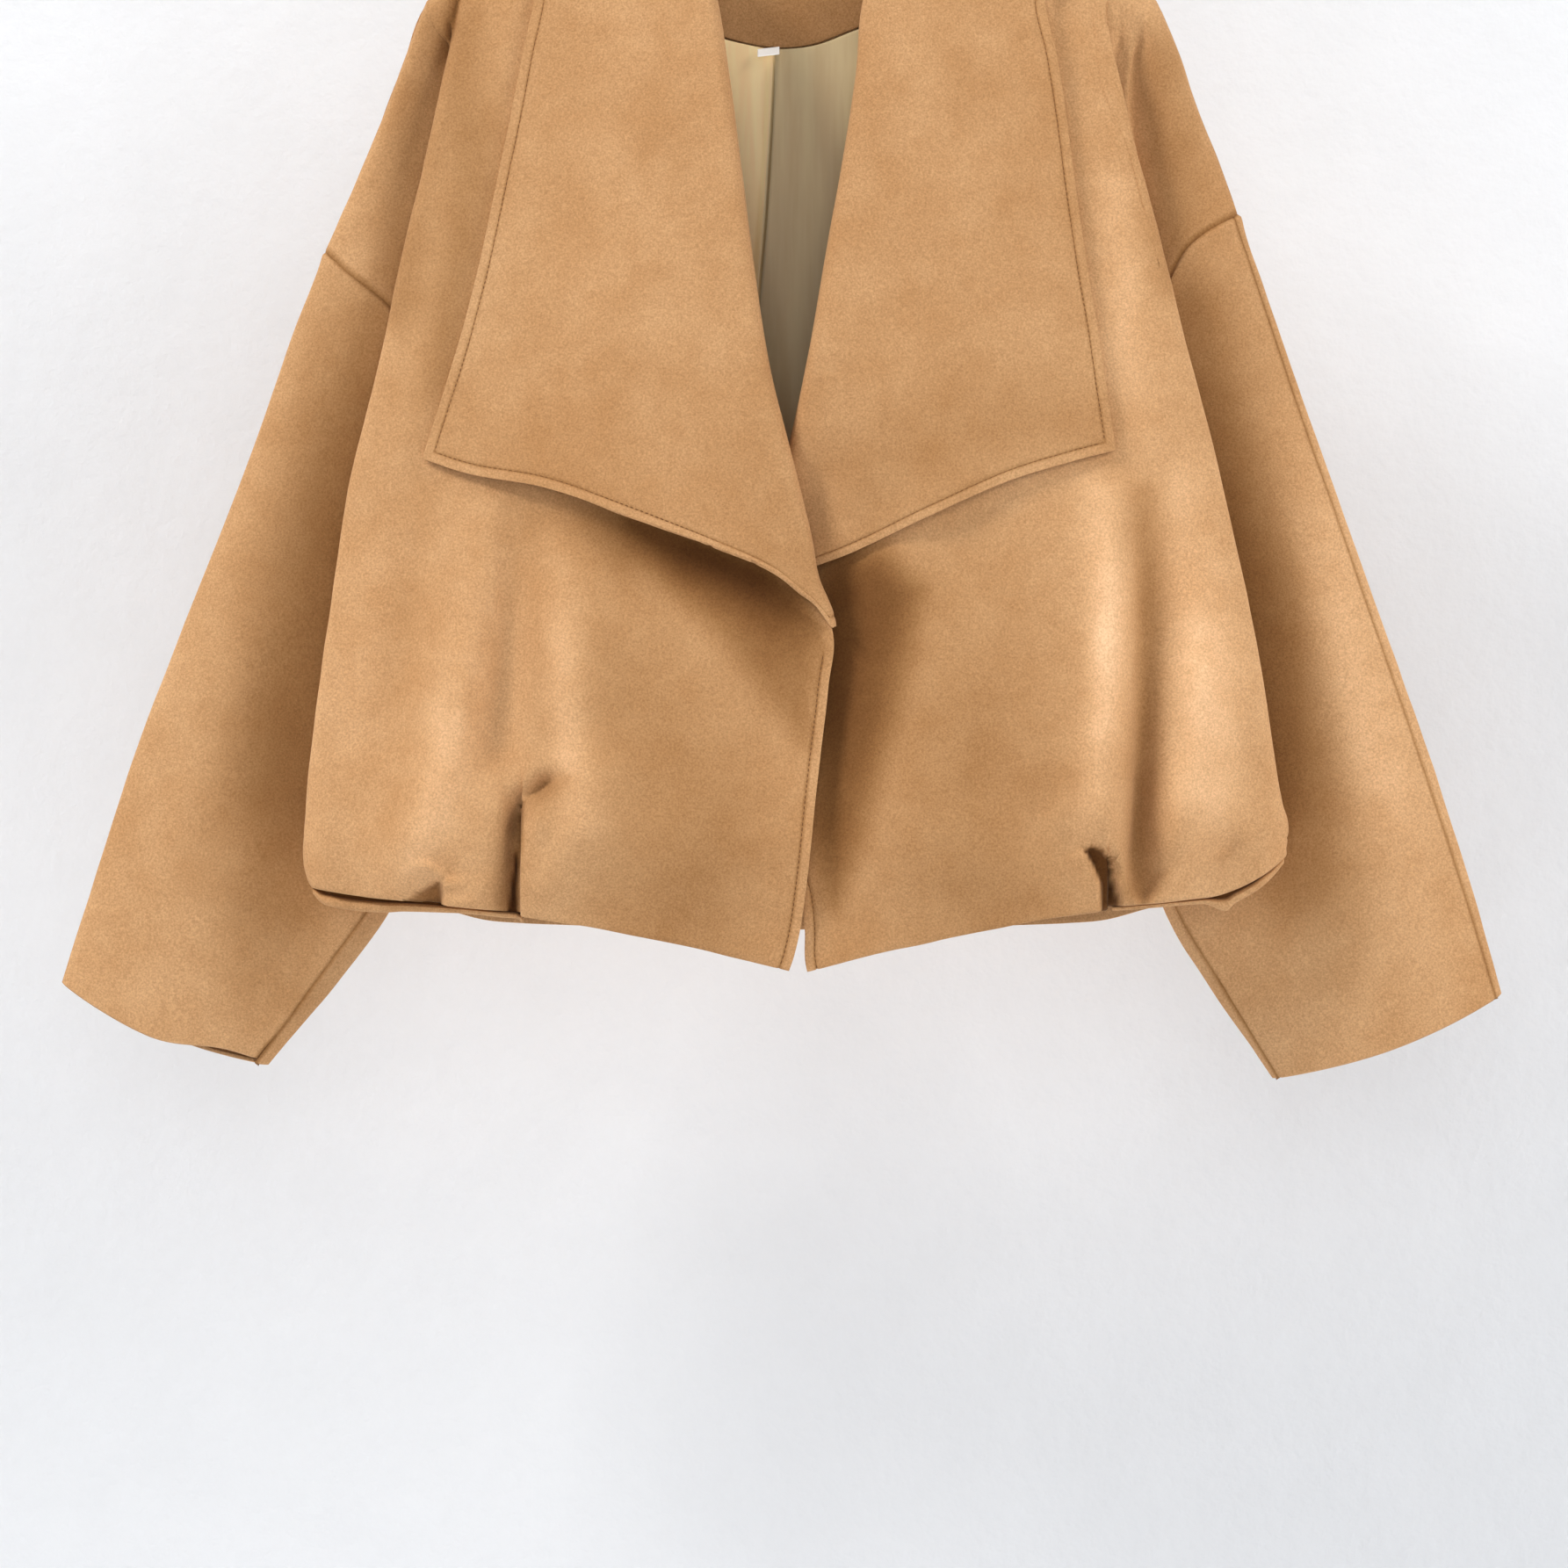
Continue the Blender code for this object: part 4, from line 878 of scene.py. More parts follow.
# Painted light and shade on each panel, lighter or darker in stops: shade under the revers, in valleys and
# beside the body, light on ridges. Width to the left and to the right of a line, then x, drop and tone along it.
FRONT_PAINTED_LIGHT_AND_SHADE = {
    LEFT: [
        (7, 1.5, [(-206.5, 126, -1.0), (-211, 150, -1.1), (-217, 172, -0.5)]),
        (60, 50, [(-95, 560, -0.45), (-60, 640, -0.6), (-70, 700, -0.55)]),
        (12, 14, [(-146, 470, 0.15), (-141, 545, 0.55), (-137, 600, 0.55), (-128, 640, 0.3)]),
        (16, 16, [(-190, 470, 0.15), (-200, 535, 0.35), (-212, 610, 0.5), (-232, 670, 0.3)]),
        (24, 24, [(-262, 480, 0.2), (-270, 560, 0.3), (-280, 620, 0.1)]),
        (14, 20, [(-205, 150, -0.4), (-200, 250, -0.65), (-215, 360, -0.65), (-232, 400, -0.1)]),
        (18, 20, [(-226, 150, -0.3), (-236, 230, -0.6), (-248, 320, -0.6)]),
        (36, 10, [(-140, 449, -0.1), (-94, 461, -0.35), (-45, 482, -0.5), (-8, 505, -0.6), (6, 560, -0.2)]),
        (21, 8, [(-148, 446, 0), (-120, 453, -0.6), (-94, 461, -1.4), (-63, 474, -1.9), (-26, 489, -1.9),
                 (-4, 503, -1.4), (10, 520, -0.5)]),
        (9, 4, [(-169, 638, -0.6), (-174, 694, -1.1)]),
        (9, 5, [(-166, 632, -0.3), (-151, 618, -0.8), (-140, 614, -0.4)]),
        (7, 3, [(-219, 677, -0.1), (-219, 694, -0.3)]),
    ],
    RIGHT: [
        (55, 60, [(105, 520, -0.3), (105, 607, -0.55), (110, 690, -0.5)]),
        (13, 12, [(186, 440, 0.35), (190, 518, 0.85), (188, 570, 0.75), (182, 615, 0.4), (176, 650, 0.15)]),
        (8, 11, [(214, 440, -0.4), (214, 560, -0.85), (209, 640, -0.9), (208, 680, -0.9)]),
        (18, 22, [(222, 170, -0.5), (232, 230, -0.6), (238, 300, -0.5)]),
        (22, 24, [(236, 440, 0.3), (253, 553, 0.6), (250, 620, 0.45), (245, 660, 0)]),
        (30, 32, [(48, 500, -0.5), (30, 560, -0.4), (14, 620, -0.1)]),
        (14, 16, [(26, 505, -0.6), (24, 570, -0.7), (15, 640, -0.5), (10, 690, -0.2)]),
        (14, 14, [(196, 250, 0.3), (203, 330, 0.35), (210, 400, 0.2)]),
        (4, 6, [(181, 656, -0.1), (190, 672, -0.3), (193, 692, -0.3)]),
    ],
}
SLEEVE_PAINTED_LIGHT_AND_SHADE = {
    LEFT: [(36, 30, [(-250, 330, -0.7), (-268, 400, -1.05), (-290, 500, -1.25), (-312, 600, -1.3),
                     (-318, 680, -0.7), (-320, 730, -0.15)])],
    RIGHT: [(30, 34, [(238, 330, -0.9), (256, 410, -1.3), (278, 500, -1.6), (298, 600, -1.6),
                      (312, 670, -0.8), (320, 720, -0.15)]),
            (26, 26, [(300, 400, 0.15), (330, 500, 0.45), (356, 600, 0.5), (380, 690, 0.15)])],
}
# Painted shade over the whole collar, a little, and over the neck facing inside the back neck, more.
COLLAR_PAINTED_SHADE, FACING_PAINTED_SHADE = -0.13, -0.6
COLLAR_PAINTED_LIGHT_AND_SHADE = {
    LEFT: [(40, 40, [(-100, 150, 0.05), (-120, 300, 0.1), (-140, 380, 0.05)]),
           (26, 26, [(-20, 420, -0.1), (5, 490, -0.2)])],
    RIGHT: [(40, 40, [(70, 160, 0.05), (80, 300, 0.05)]), (40, 40, [(40, 430, -0.25), (140, 395, -0.25)])],
}


# Painted shade with crushed nap along seams, painted shade in the stitched groove and painted light on the rim
# beyond it: tone, and how far it reaches.
SEAM_SHADE_AND_CRUSH, SEAM_REACH, ALLOWANCE_LONG = -1.3, 1.1, 3.3
GROOVE_PAINTED_SHADE, GROOVE_REACH, RIM_PAINTED_LIGHT = -0.75, 1.0, 0.14


# Sums the painted light and shade along a panel's lines.
def painted_light_tones(grid, lines):
    tones = np.zeros(grid.shape[:2])
    for left, right, line in lines:
        tones += crease_profile(grid[:, :, 0], grid[:, :, 2], line, left, right)
    return np.clip(tones, -2.4, 0.9)


def seam_shade_tones(grid, edges):
    """Painted shade, with crushed nap, near the edges that end in a seam allowance."""
    tones = np.zeros(grid.shape[:2])
    for edge in edges:
        away = np.maximum(from_edge(grid, edge) - ALLOWANCE_LONG, 0)
        tones = np.minimum(tones, SEAM_SHADE_AND_CRUSH * np.exp(-((away / SEAM_REACH) ** 2)))
    return tones


# Painted shade in the stitched groove, and painted light on the raised rim between it and the edge.
def groove_light_and_shade(grid, shares):
    tones = np.zeros(grid.shape[:2])
    for edge, share in shares.items():
        away = (from_edge(grid, edge) - INSET) / GROOVE_REACH
        tones = np.minimum(tones, GROOVE_PAINTED_SHADE * np.exp(-(away**2)) * share)
        tones = np.where(away < -1.5, np.maximum(tones, RIM_PAINTED_LIGHT * share), tones)
    return tones


def puffed(grid, facing, edge, height, wide):
    """The grid with its cloth standing up a little beside a seam, where it is eased in."""
    away = from_edge(grid, edge)
    rise = height * np.clip(away / 1.5, 0, 1) * np.exp(-((away / wide) ** 2))
    return grid + normals_of(grid) * facing * rise[:, :, None]


def cloth(name, solids, grid, thick, material, tones=0):
    """A grid primitive laid on the points, thickened into a shell with a soft rim; tones are the painted light and
    shade that it keeps in its 'nap' attribute.
    """
    down, across = grid.shape[:2]
    deselect()
    bpy.ops.mesh.primitive_grid_add(x_subdivisions=across - 1, y_subdivisions=down - 1, size=1)
    piece = bpy.context.object
    piece.name = piece.data.name = name
    flat = np.empty(len(piece.data.vertices) * 3)
    piece.data.vertices.foreach_get("co", flat)
    flat = flat.reshape(-1, 3)
    column = np.rint((flat[:, 0] + 0.5) * (across - 1)).astype(int)
    row = np.rint((0.5 - flat[:, 1]) * (down - 1)).astype(int)
    placed = grid[row, column] * MM
    placed = np.stack([placed[:, 0], placed[:, 1], -placed[:, 2]], axis=1)
    piece.data.vertices.foreach_set("co", placed.ravel())
    lay_uvs(piece, grid, row, column)
    painted_light = piece.data.attributes.new("nap", "FLOAT", "POINT")
    painted_light.data.foreach_set("value", 2.0 ** (tones + np.zeros((down, across)))[row, column])
    piece.data.update()
    shell = piece.modifiers.new("thickness", "SOLIDIFY")
    shell.thickness = thick * MM
    shell.offset = 0
    soft = piece.modifiers.new("soft rim", "BEVEL")
    soft.width = thick * RIM_SHARE * MM
    soft.segments = 2
    soft.limit_method = "ANGLE"
    soft.angle_limit = math.radians(RIM_ANGLE)
    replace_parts(finished(piece, material), *solids)
    return piece


def lay_uvs(piece, grid, row, column):
    """UV map in metres of cloth: across along the rows and up along the columns."""
    across = np.cumsum(np.linalg.norm(np.diff(grid, axis=1, prepend=grid[:, :1]), axis=2), axis=1)
    along_column = np.cumsum(np.linalg.norm(np.diff(grid, axis=0, prepend=grid[:1]), axis=2), axis=0)
    place = np.stack([across[row, column], -along_column[row, column]], axis=1) * MM
    loops = np.empty(len(piece.data.loops), np.int32)
    piece.data.loops.foreach_get("vertex_index", loops)
    piece.data.uv_layers.active.data.foreach_set("uv", place[loops].ravel())


def finished(piece, material):
    """Applies a piece's modifiers, shades it, gives it its material and hangs it on the body."""
    deselect()
    piece.select_set(True)
    bpy.context.view_layer.objects.active = piece
    for modifier in list(piece.modifiers):
        bpy.ops.object.modifier_apply(modifier=modifier.name)
    bpy.ops.object.shade_smooth_by_angle(angle=math.radians(SMOOTH_ANGLE))
    piece.data.materials.clear()
    piece.data.materials.append(material)
    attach(piece, "root")
    return piece


# Materials.


class Sock:
    """A shader socket that takes part in sums, products and comparisons."""

    def __init__(self, tree, socket):
        self.tree, self.socket = tree, socket

    def calc(self, operation, *others):
        node = self.tree.nodes.new("ShaderNodeMath")
        node.operation = operation
        for place, value in enumerate((self, *others)):
            plug(self.tree, value, node.inputs[place])
        return Sock(self.tree, node.outputs[0])

    def __add__(self, other):
        return self.calc("ADD", other)

    __radd__ = __add__

    def __mul__(self, other):
        return self.calc("MULTIPLY", other)

    __rmul__ = __mul__

    def __sub__(self, other):
        return self.calc("SUBTRACT", other)

    def __rsub__(self, other):
        return self.calc("MULTIPLY", -1.0).calc("ADD", other)

    def __pow__(self, other):
        return self.calc("POWER", other)

    def over(self, low, high):
        """0 below low, 1 above high, smooth between."""
        node = self.tree.nodes.new("ShaderNodeMapRange")
        node.interpolation_type = "SMOOTHSTEP"
        plug(self.tree, self, node.inputs["Value"])
        node.inputs["From Min"].default_value = low
        node.inputs["From Max"].default_value = high
        return Sock(self.tree, node.outputs["Result"])


def plug(tree, value, socket):
    if isinstance(value, Sock):
        tree.links.new(value.socket, socket)
    else:
        socket.default_value = value


class Finish:
    """A node material under way: its Principled shader and the coordinates its patterns read."""

    def __init__(self, name, **constants):
        self.material = bpy.data.materials.new(name)
        self.material.use_nodes = True
        self.tree = self.material.node_tree
        self.shader = self.tree.nodes["Principled BSDF"]
        for label, value in constants.items():
            self.shader.inputs[label.replace("_", " ")].default_value = value
        self.place = self.node("ShaderNodeTexCoord", {}, {}, "Object")

    def node(self, kind, settings, values, output=0):
        made = self.tree.nodes.new(kind)
        for label, value in settings.items():
            setattr(made, label, value)
        for label, value in values.items():
            plug(self.tree, value, made.inputs[label])
        return Sock(self.tree, made.outputs[output])

    def noise(self, scale, detail=3.0, rough=0.55, stretch=None):
        """Cloudy pattern; an axis with a stretch below 1 has longer marks."""
        place = self.place
        if stretch:
            place = self.node("ShaderNodeMapping", {}, {"Vector": place, "Scale": stretch}, "Vector")
        values = {"Vector": place, "Scale": scale, "Detail": detail, "Roughness": rough}
        return self.node("ShaderNodeTexNoise", {}, values, "Fac")

    def with_painted_light(self, body, powers):
        """A colour made lighter or darker by the painted light and shade in the 'nap' attribute, each channel to
        its own power.
        """
        painted_light = self.node("ShaderNodeAttribute", {"attribute_name": "nap"}, {}, "Fac")
        channels = {name: painted_light if power == 1 else painted_light**power
                    for name, power in zip(("Red", "Green", "Blue"), powers)}
        tone = self.node("ShaderNodeCombineColor", {}, channels)
        return self.blend(1.0, body, tone, "MULTIPLY")

    def blend(self, factor, a, b, how="MIX"):
        made = self.tree.nodes.new("ShaderNodeMix")
        made.data_type = "RGBA"
        made.blend_type = how
        plug(self.tree, factor, made.inputs[0])
        plug(self.tree, a, made.inputs[6])
        plug(self.tree, b, made.inputs[7])
        return Sock(self.tree, made.outputs[2])

    def dressed(self, **links):
        """The material, once what changes over the surface is linked to its shader."""
        for label, value in links.items():
            plug(self.tree, value, self.shader.inputs[label.replace("_", " ")])
        return self.material

    def bump(self, height, strength, distance, under=None):
        values = {"Height": height, "Strength": strength, "Distance": distance}
        if under is not None:
            values["Normal"] = under
        return self.node("ShaderNodeBump", {}, values, "Normal")


def colour(r, g, b):
    """Linear colour of an sRGB colour given from 0 to 255."""
    return tuple(((v / 255 + 0.055) / 1.055) ** 2.4 if v > 10 else v / 3294.6 for v in (r, g, b)) + (1,)


# Painted light and shade shift the suede's hue, warmer where it is darker: powers of the tone for red, green and
# blue.
PAINTED_LIGHT_POWERS = (0.8, 1, 1.35)


def suede_finish(name, base, low, high):
    """Napped suede: cloudy brushed patches, a fine speckled nap and a dry sheen."""
    suede = Finish(name, Sheen_Weight=0.16, Sheen_Roughness=0.55, Specular_IOR_Level=0.12)
    suede.shader.inputs["Sheen Tint"].default_value = colour(255, 226, 190)
    brushed = suede.noise(9, 3, 0.6, (1.0, 1.0, 0.55))
    patches = suede.noise(34, 4, 0.65)
    nap = suede.noise(760, 2, 0.6)
    fine = suede.noise(2100, 2, 0.7)
    tone = (brushed - 0.5) * 0.9 + (patches - 0.5) * 0.7
    body = suede.blend((tone + 0.5).over(0.05, 0.95), colour(*low), colour(*high))
    body = suede.blend(0.7, colour(*base), body)
    speck = ((nap - 0.5) * 0.75 + (fine - 0.5) * 0.65 + 0.5).over(0.2, 0.8)
    speckled = suede.blend(speck, (0.76, 0.72, 0.67, 1), (1.20, 1.22, 1.25, 1))
    height = nap * 0.6 + fine * 0.55
    return suede.dressed(
        # The base colour carries the painted light and shade.
        Base_Color=suede.blend(1.0, suede.with_painted_light(body, PAINTED_LIGHT_POWERS), speckled, "MULTIPLY"),
        Roughness=0.84 + patches * 0.14,
        Normal=suede.bump(height, 0.42, 0.0011, suede.bump(patches, 0.10, 0.004)),
    )


def satin_finish():
    """Smooth lining satin: long soft lights down the cloth and a very fine weave."""
    satin = Finish("lining satin", Specular_IOR_Level=0.5, Sheen_Weight=0.1)
    streaks = satin.noise(60, 3, 0.55, (1.6, 1.0, 0.12))
    body = satin.blend(streaks.over(0.3, 0.75), colour(230, 199, 144), colour(245, 221, 166))
    weave = satin.noise(2200, 1, 0.5, (1.0, 1.0, 0.3))
    body = satin.blend(0.08, body, colour(204, 176, 134))
    return satin.dressed(
        Base_Color=satin.with_painted_light(body, (1, 1, 1)),
        Roughness=0.36 + streaks * 0.12,
        Normal=satin.bump(weave, 0.12, 0.0004),
    )


def thread_finish():
    thread = Finish("sewing thread", Specular_IOR_Level=0.3)
    twist = thread.noise(2600, 1)
    return thread.dressed(
        Base_Color=thread.blend(twist, colour(92, 56, 28), colour(126, 82, 44)),
        Roughness=0.55 + twist * 0.2,
    )


def wood_finish():
    wood = Finish("varnished beech", Coat_Weight=0.25)
    grain = wood.noise(40, 5, 0.65, (0.12, 1.0, 1.0))
    pores = wood.noise(420, 3, 0.6, (0.08, 1.0, 1.0))
    tone = grain * 0.8 + pores * 0.2
    return wood.dressed(
        Base_Color=wood.blend(tone.over(0.3, 0.7), colour(168, 116, 70), colour(214, 170, 120)),
        Roughness=0.32 + pores * 0.2,
        Normal=wood.bump(pores, 0.15, 0.0006),
    )


def steel_finish():
    steel = Finish("plated wire", Metallic=1.0)
    steel.shader.inputs["Base Color"].default_value = colour(196, 197, 200)
    scuffs = steel.noise(300, 3)
    return steel.dressed(Roughness=0.16 + scuffs * 0.14)


def label_finish():
    white = colour(255, 254, 250)
    # The label glows a little: painted light that keeps it white in the shade inside the neck.
    label = Finish("woven label", Specular_IOR_Level=0.4, Emission_Color=white, Emission_Strength=0.35)
    settings = {"wave_type": "BANDS", "bands_direction": "Z"}
    values = {"Vector": label.place, "Scale": 900.0, "Distortion": 0.6}
    weft = label.node("ShaderNodeTexWave", settings, values, "Fac")
    return label.dressed(
        Base_Color=label.blend(weft, colour(246, 244, 238), white),
        Roughness=0.5 + weft * 0.2,
        Normal=label.bump(weft, 0.2, 0.0003),
    )


def plaster_finish(one_sided):
    """Painted plaster; a one-sided wall can be seen through from behind."""
    plaster = Finish("painted plaster", Specular_IOR_Level=0.25)
    trowel = plaster.noise(18, 5, 0.6)
    grit = plaster.noise(120, 4, 0.6)
    if one_sided:
        clear = plaster.node("ShaderNodeBsdfTransparent", {}, {})
        behind = plaster.node("ShaderNodeNewGeometry", {}, {}, "Backfacing")
        front = Sock(plaster.tree, plaster.shader.outputs[0])
        shown = plaster.node("ShaderNodeMixShader", {}, {0: behind, 1: front, 2: clear})
        plug(plaster.tree, shown, plaster.tree.nodes["Material Output"].inputs["Surface"])
    return plaster.dressed(
        Base_Color=plaster.blend(trowel, colour(232, 234, 237), colour(238, 240, 243)),
        Roughness=0.8 + grit * 0.15,
        Normal=plaster.bump(grit * 0.4 + trowel, 0.18, 0.01),
    )


SUEDE = suede_finish("tan faux suede", (204, 156, 108), (181, 131, 82), (220, 176, 130))
SATIN = satin_finish()
THREAD = thread_finish()
WOOD = wood_finish()
STEEL = steel_finish()
LABEL = label_finish()

# Panels.

SIDE_NAMES = {LEFT: "left", RIGHT: "right"}


# Small shifts near the meeting of revers and front edge: x, drop, reach across and down, and the shift.
FRONT_EASE = [(21, 531, 20, 18, 2.6, 0)]
REVERS_EASE = [(14, 512, 14, 12, 0, -4), (17, 490, 12, 18, -2.5, 0)]


def eased(grid, places):
    """The grid with small parts of it shifted, each by what its place says."""
    moved = grid.copy()
    for x, drop, wide, tall, sideways, down in places:
        share = np.exp(-(((grid[:, :, 0] - x) / wide) ** 2) - ((grid[:, :, 2] - drop) / tall) ** 2)
        moved[:, :, 0] += sideways * share
        moved[:, :, 2] += down * share
    return moved


# Creases of the fronts: width to the left, to the right, then x, drop and height along each.
CREASES = {
    LEFT: [
        (5, 1.5, [(-206.5, 126, -4), (-211, 150, -4), (-216, 168, -1.5)]),
        (110, 85, [(-128, 430, 0), (-128, 540, 4.5), (-132, 640, 5.5), (-140, 700, 4)]),
        (16, 13, [(-189, 454, 2), (-194, 540, 5), (-205, 589, 5), (-227, 643, 5), (-236, 676, 3)]),
        (14, 16, [(-229, 481, 0), (-248, 578, -3), (-256, 632, -3), (-248, 659, 0)]),
        (15, 16, [(-181, 470, 0), (-176, 540, -3.5), (-178, 590, -3.5), (-181, 625, 0)]),
        (12, 24, [(-146, 481, 1), (-138, 535, 4), (-135, 578, 5), (-124, 610, 7), (-127, 637, 6), (-143, 670, 4),
                  (-159, 693, 2)]),
        (6.5, 6.5, [(-170, 642, -4), (-164, 627, -8), (-152, 617, -10), (-138, 612, -2)]),
        (4.5, 5.5, [(-159, 630, 2), (-155, 640, 4), (-154, 659, 0)]),
        (9, 3, [(-168, 628, 0), (-170, 643, -4), (-174, 670, -6), (-177, 694, -7)]),
        (9, 4, [(-222, 675, 0), (-220, 681, -4), (-219, 694, -6)]),
        (2.6, 2.6, [(-233, 668, 2), (-226, 666, 4), (-217, 671, 4), (-212, 677, 3)]),
        (1.6, 12, [(-213, 673, 0), (-211.5, 680, 5), (-212.5, 695, 6)]),
        (6, 6, [(-203, 694, 3), (-175, 668, 1)]),
    ],
    RIGHT: [
        (95, 70, [(176, 380, 0), (186, 540, 5), (186, 640, 5), (190, 700, 4)]),
        (16, 9, [(192, 443, 2), (193, 508, 4), (190, 567, 5), (184, 610, 5), (190, 643, 5), (199, 670, 6),
                 (208, 694, 5)]),
        (7, 12, [(213, 448, 0), (213, 535, -4), (211, 589, -6), (208, 632, -8), (207, 670, -9), (209, 690, -5)]),
        (3.2, 3.2, [(193, 655, 1), (197, 664, 4), (201, 680, 5.5), (209, 694, 5.5), (219, 690, 4.5), (225, 676, 4),
                    (233, 668, 2), (246, 659, 0)]),
        (9, 16, [(248, 508, 1), (248, 589, 3), (235, 643, 3), (227, 670, 4), (222, 690, 4)]),
        (8, 3, [(172, 655, 0), (175, 662, 3), (181, 678, 4), (183, 694, 3)]),
        (7, 7, [(240, 664, -2), (262, 657, -4), (275, 650, 0)]),
        (8, 8, [(144, 613, 0), (146, 640, -2), (147, 665, 0)]),
        (7, 7, [(157, 620, 0), (158, 640, 2), (160, 655, 0)]),
    ],
}
# Drop at which the topstitching of the front edge starts, below the revers.
STITCH_TOP, STITCH_FADE = {LEFT: 534, RIGHT: 545}, 8
CURLED_ROWS = 5
stitch_runs = []
# The fronts are modelled closer below this drop, and between these reaches, where the pleats lie.
CLOSE_FINE = 1.75
CLOSE_DROP, CLOSE_REACH = 600, (130, 262)
# Where the fronts' cloth ends and the folded-back cloth starts, from front to back.
SIDE_Y, SIDE_SOFT = -29.3, 14
# How far cloth stands up beside a seam, and over what width.
SIDE_PUFF, ARMHOLE_PUFF, SLEEVE_SEAM_PUFF = (0.5, 6), (1.5, 9), (0.7, 5)
# How the hem's outer corners are shaped: reaches it works over, then by drop the lift and the push outwards.
CORNER_REACH = {LEFT: (258, 293), RIGHT: (250, 289)}
CORNER_LIFT = {
    LEFT: [(640, 0), (666, 1.5), (677, 3), (684, 4)],
    RIGHT: [(605, 0), (632, 3), (650, 9), (666, 16), (684, 23)],
}
CORNER_PUSH = {
    LEFT: [(650, 0), (666, 0.8), (677, 2.5), (684, 3)],
    RIGHT: [(636, 0), (666, 2), (677, 8), (684, 11.5)],
}


def cornered(grid):
    """The grid with the outer corners of its hem drawn out and up towards the sleeves."""
    drawn = grid.copy()
    for side, (start, end) in CORNER_REACH.items():
        out = between(grid[:, :, 0] * side, start, end)
        lift, push = (np.interp(grid[:, :, 2], *zip(*table[side])) for table in (CORNER_LIFT, CORNER_PUSH))
        gentler = between(grid[:, :, 1], SIDE_Y, SIDE_Y + SIDE_SOFT) * 0.9
        drawn[:, :, 2] -= lift * out ** (2 - gentler)
        drawn[:, :, 0] += side * push * out**1.5
    return drawn


# The mouths of the hem's pleats with painted shade in them, the painted shadow under the left revers and the
# painted shadow that the left front casts on the right front, all on the cloth in front of MOUTH_Y: outline as (x,
# drop), depth, tone and softness of the edge.
MOUTH_Y = -32
MOUTHS_AND_PAINTED_SHADOWS = {
    LEFT: [
        ([(-238, 687), (-227, 681), (-215.5, 675), (-214, 690), (-214, 698), (-237, 698)], 7, -0.9, 0.9),
        ([(-165, 628), (-166, 650), (-168.5, 698), (-176, 698), (-173, 676), (-169, 655), (-166.5, 638)],
         7, -3.2, 1.4),
        ([(-100, 458), (-26, 489), (10, 512), (14, 555), (6, 592), (-12, 572), (-48, 524), (-80, 486)],
         0, -0.75, 13),
    ],
    RIGHT: [
        ([(16, 470), (52, 476), (74, 500), (60, 570), (38, 650), (24, 690), (12, 640)], 0, -1.35, 15),
        ([(176, 657), (180, 654.5), (187, 657), (190.5, 663), (192, 673), (198, 689), (200, 698), (186, 698),
          (185, 677), (181, 667)], 9, -2.5, 1.2),
    ],
}


def inside(grid, corners, soft):
    """1 inside the outline and 0 outside it, with an edge this soft."""
    x, drop = grid[:, :, 0], grid[:, :, 2]
    nearest = np.full(x.shape, 1e9)
    within = np.zeros(x.shape, bool)
    for (x0, d0), (x1, d1) in zip(corners, corners[1:] + corners[:1]):
        run, fall = x1 - x0, d1 - d0
        share = np.clip(((x - x0) * run + (drop - d0) * fall) / (run**2 + fall**2), 0, 1)
        nearest = np.minimum(nearest, np.hypot(x - x0 - share * run, drop - d0 - share * fall))
        if fall:
            crossed = x0 + (drop - d0) / fall * run
            within ^= ((d0 > drop) != (d1 > drop)) & (x < crossed)
    signed = np.where(within, nearest, -nearest)
    return ease(0.5 + signed / (2 * soft))


def opened(grid, mouths):
    """The grid with its pleats' mouths pressed in, and their painted shade and shadows."""
    pressed_in, tones = grid.copy(), np.zeros(grid.shape[:2])
    near = grid[:, :, 1] < MOUTH_Y
    for corners, deep, tone, soft in mouths:
        part = inside(grid, corners, soft) * near
        pressed_in[:, :, 1] += deep * part
        tones += tone * part
    return pressed_in, tones


# How far the right front's fold moves in beside the collar, by drop, between which reaches and y's it does.
FOLD_IN = [(135, 19), (167, 12.5), (194, 6.5), (224, 1), (245, 0)]
FOLD_IN_STARTS, FOLD_IN_ENDS, FOLD_IN_Y = (150, 184), (212, 240), (-4, -11)


def folded_in(grid):
    """The right front, with its side fold nearer to the collar."""
    reach, y, drop = (grid[:, :, i] for i in range(3))
    share = ease(between(reach, *FOLD_IN_STARTS)) * (1 - ease(between(reach, *FOLD_IN_ENDS)))
    moved = grid.copy()
    moved[:, :, 0] -= np.interp(drop, *zip(*FOLD_IN)) * share * between(y, *FOLD_IN_Y)
    return moved


def plain_edge(grid, side):
    """1 along the front edge below the revers, where it is topstitched, and 0 above."""
    return {"left": between(grid[:, :1, 2], STITCH_TOP[side], STITCH_TOP[side] + STITCH_FADE)}


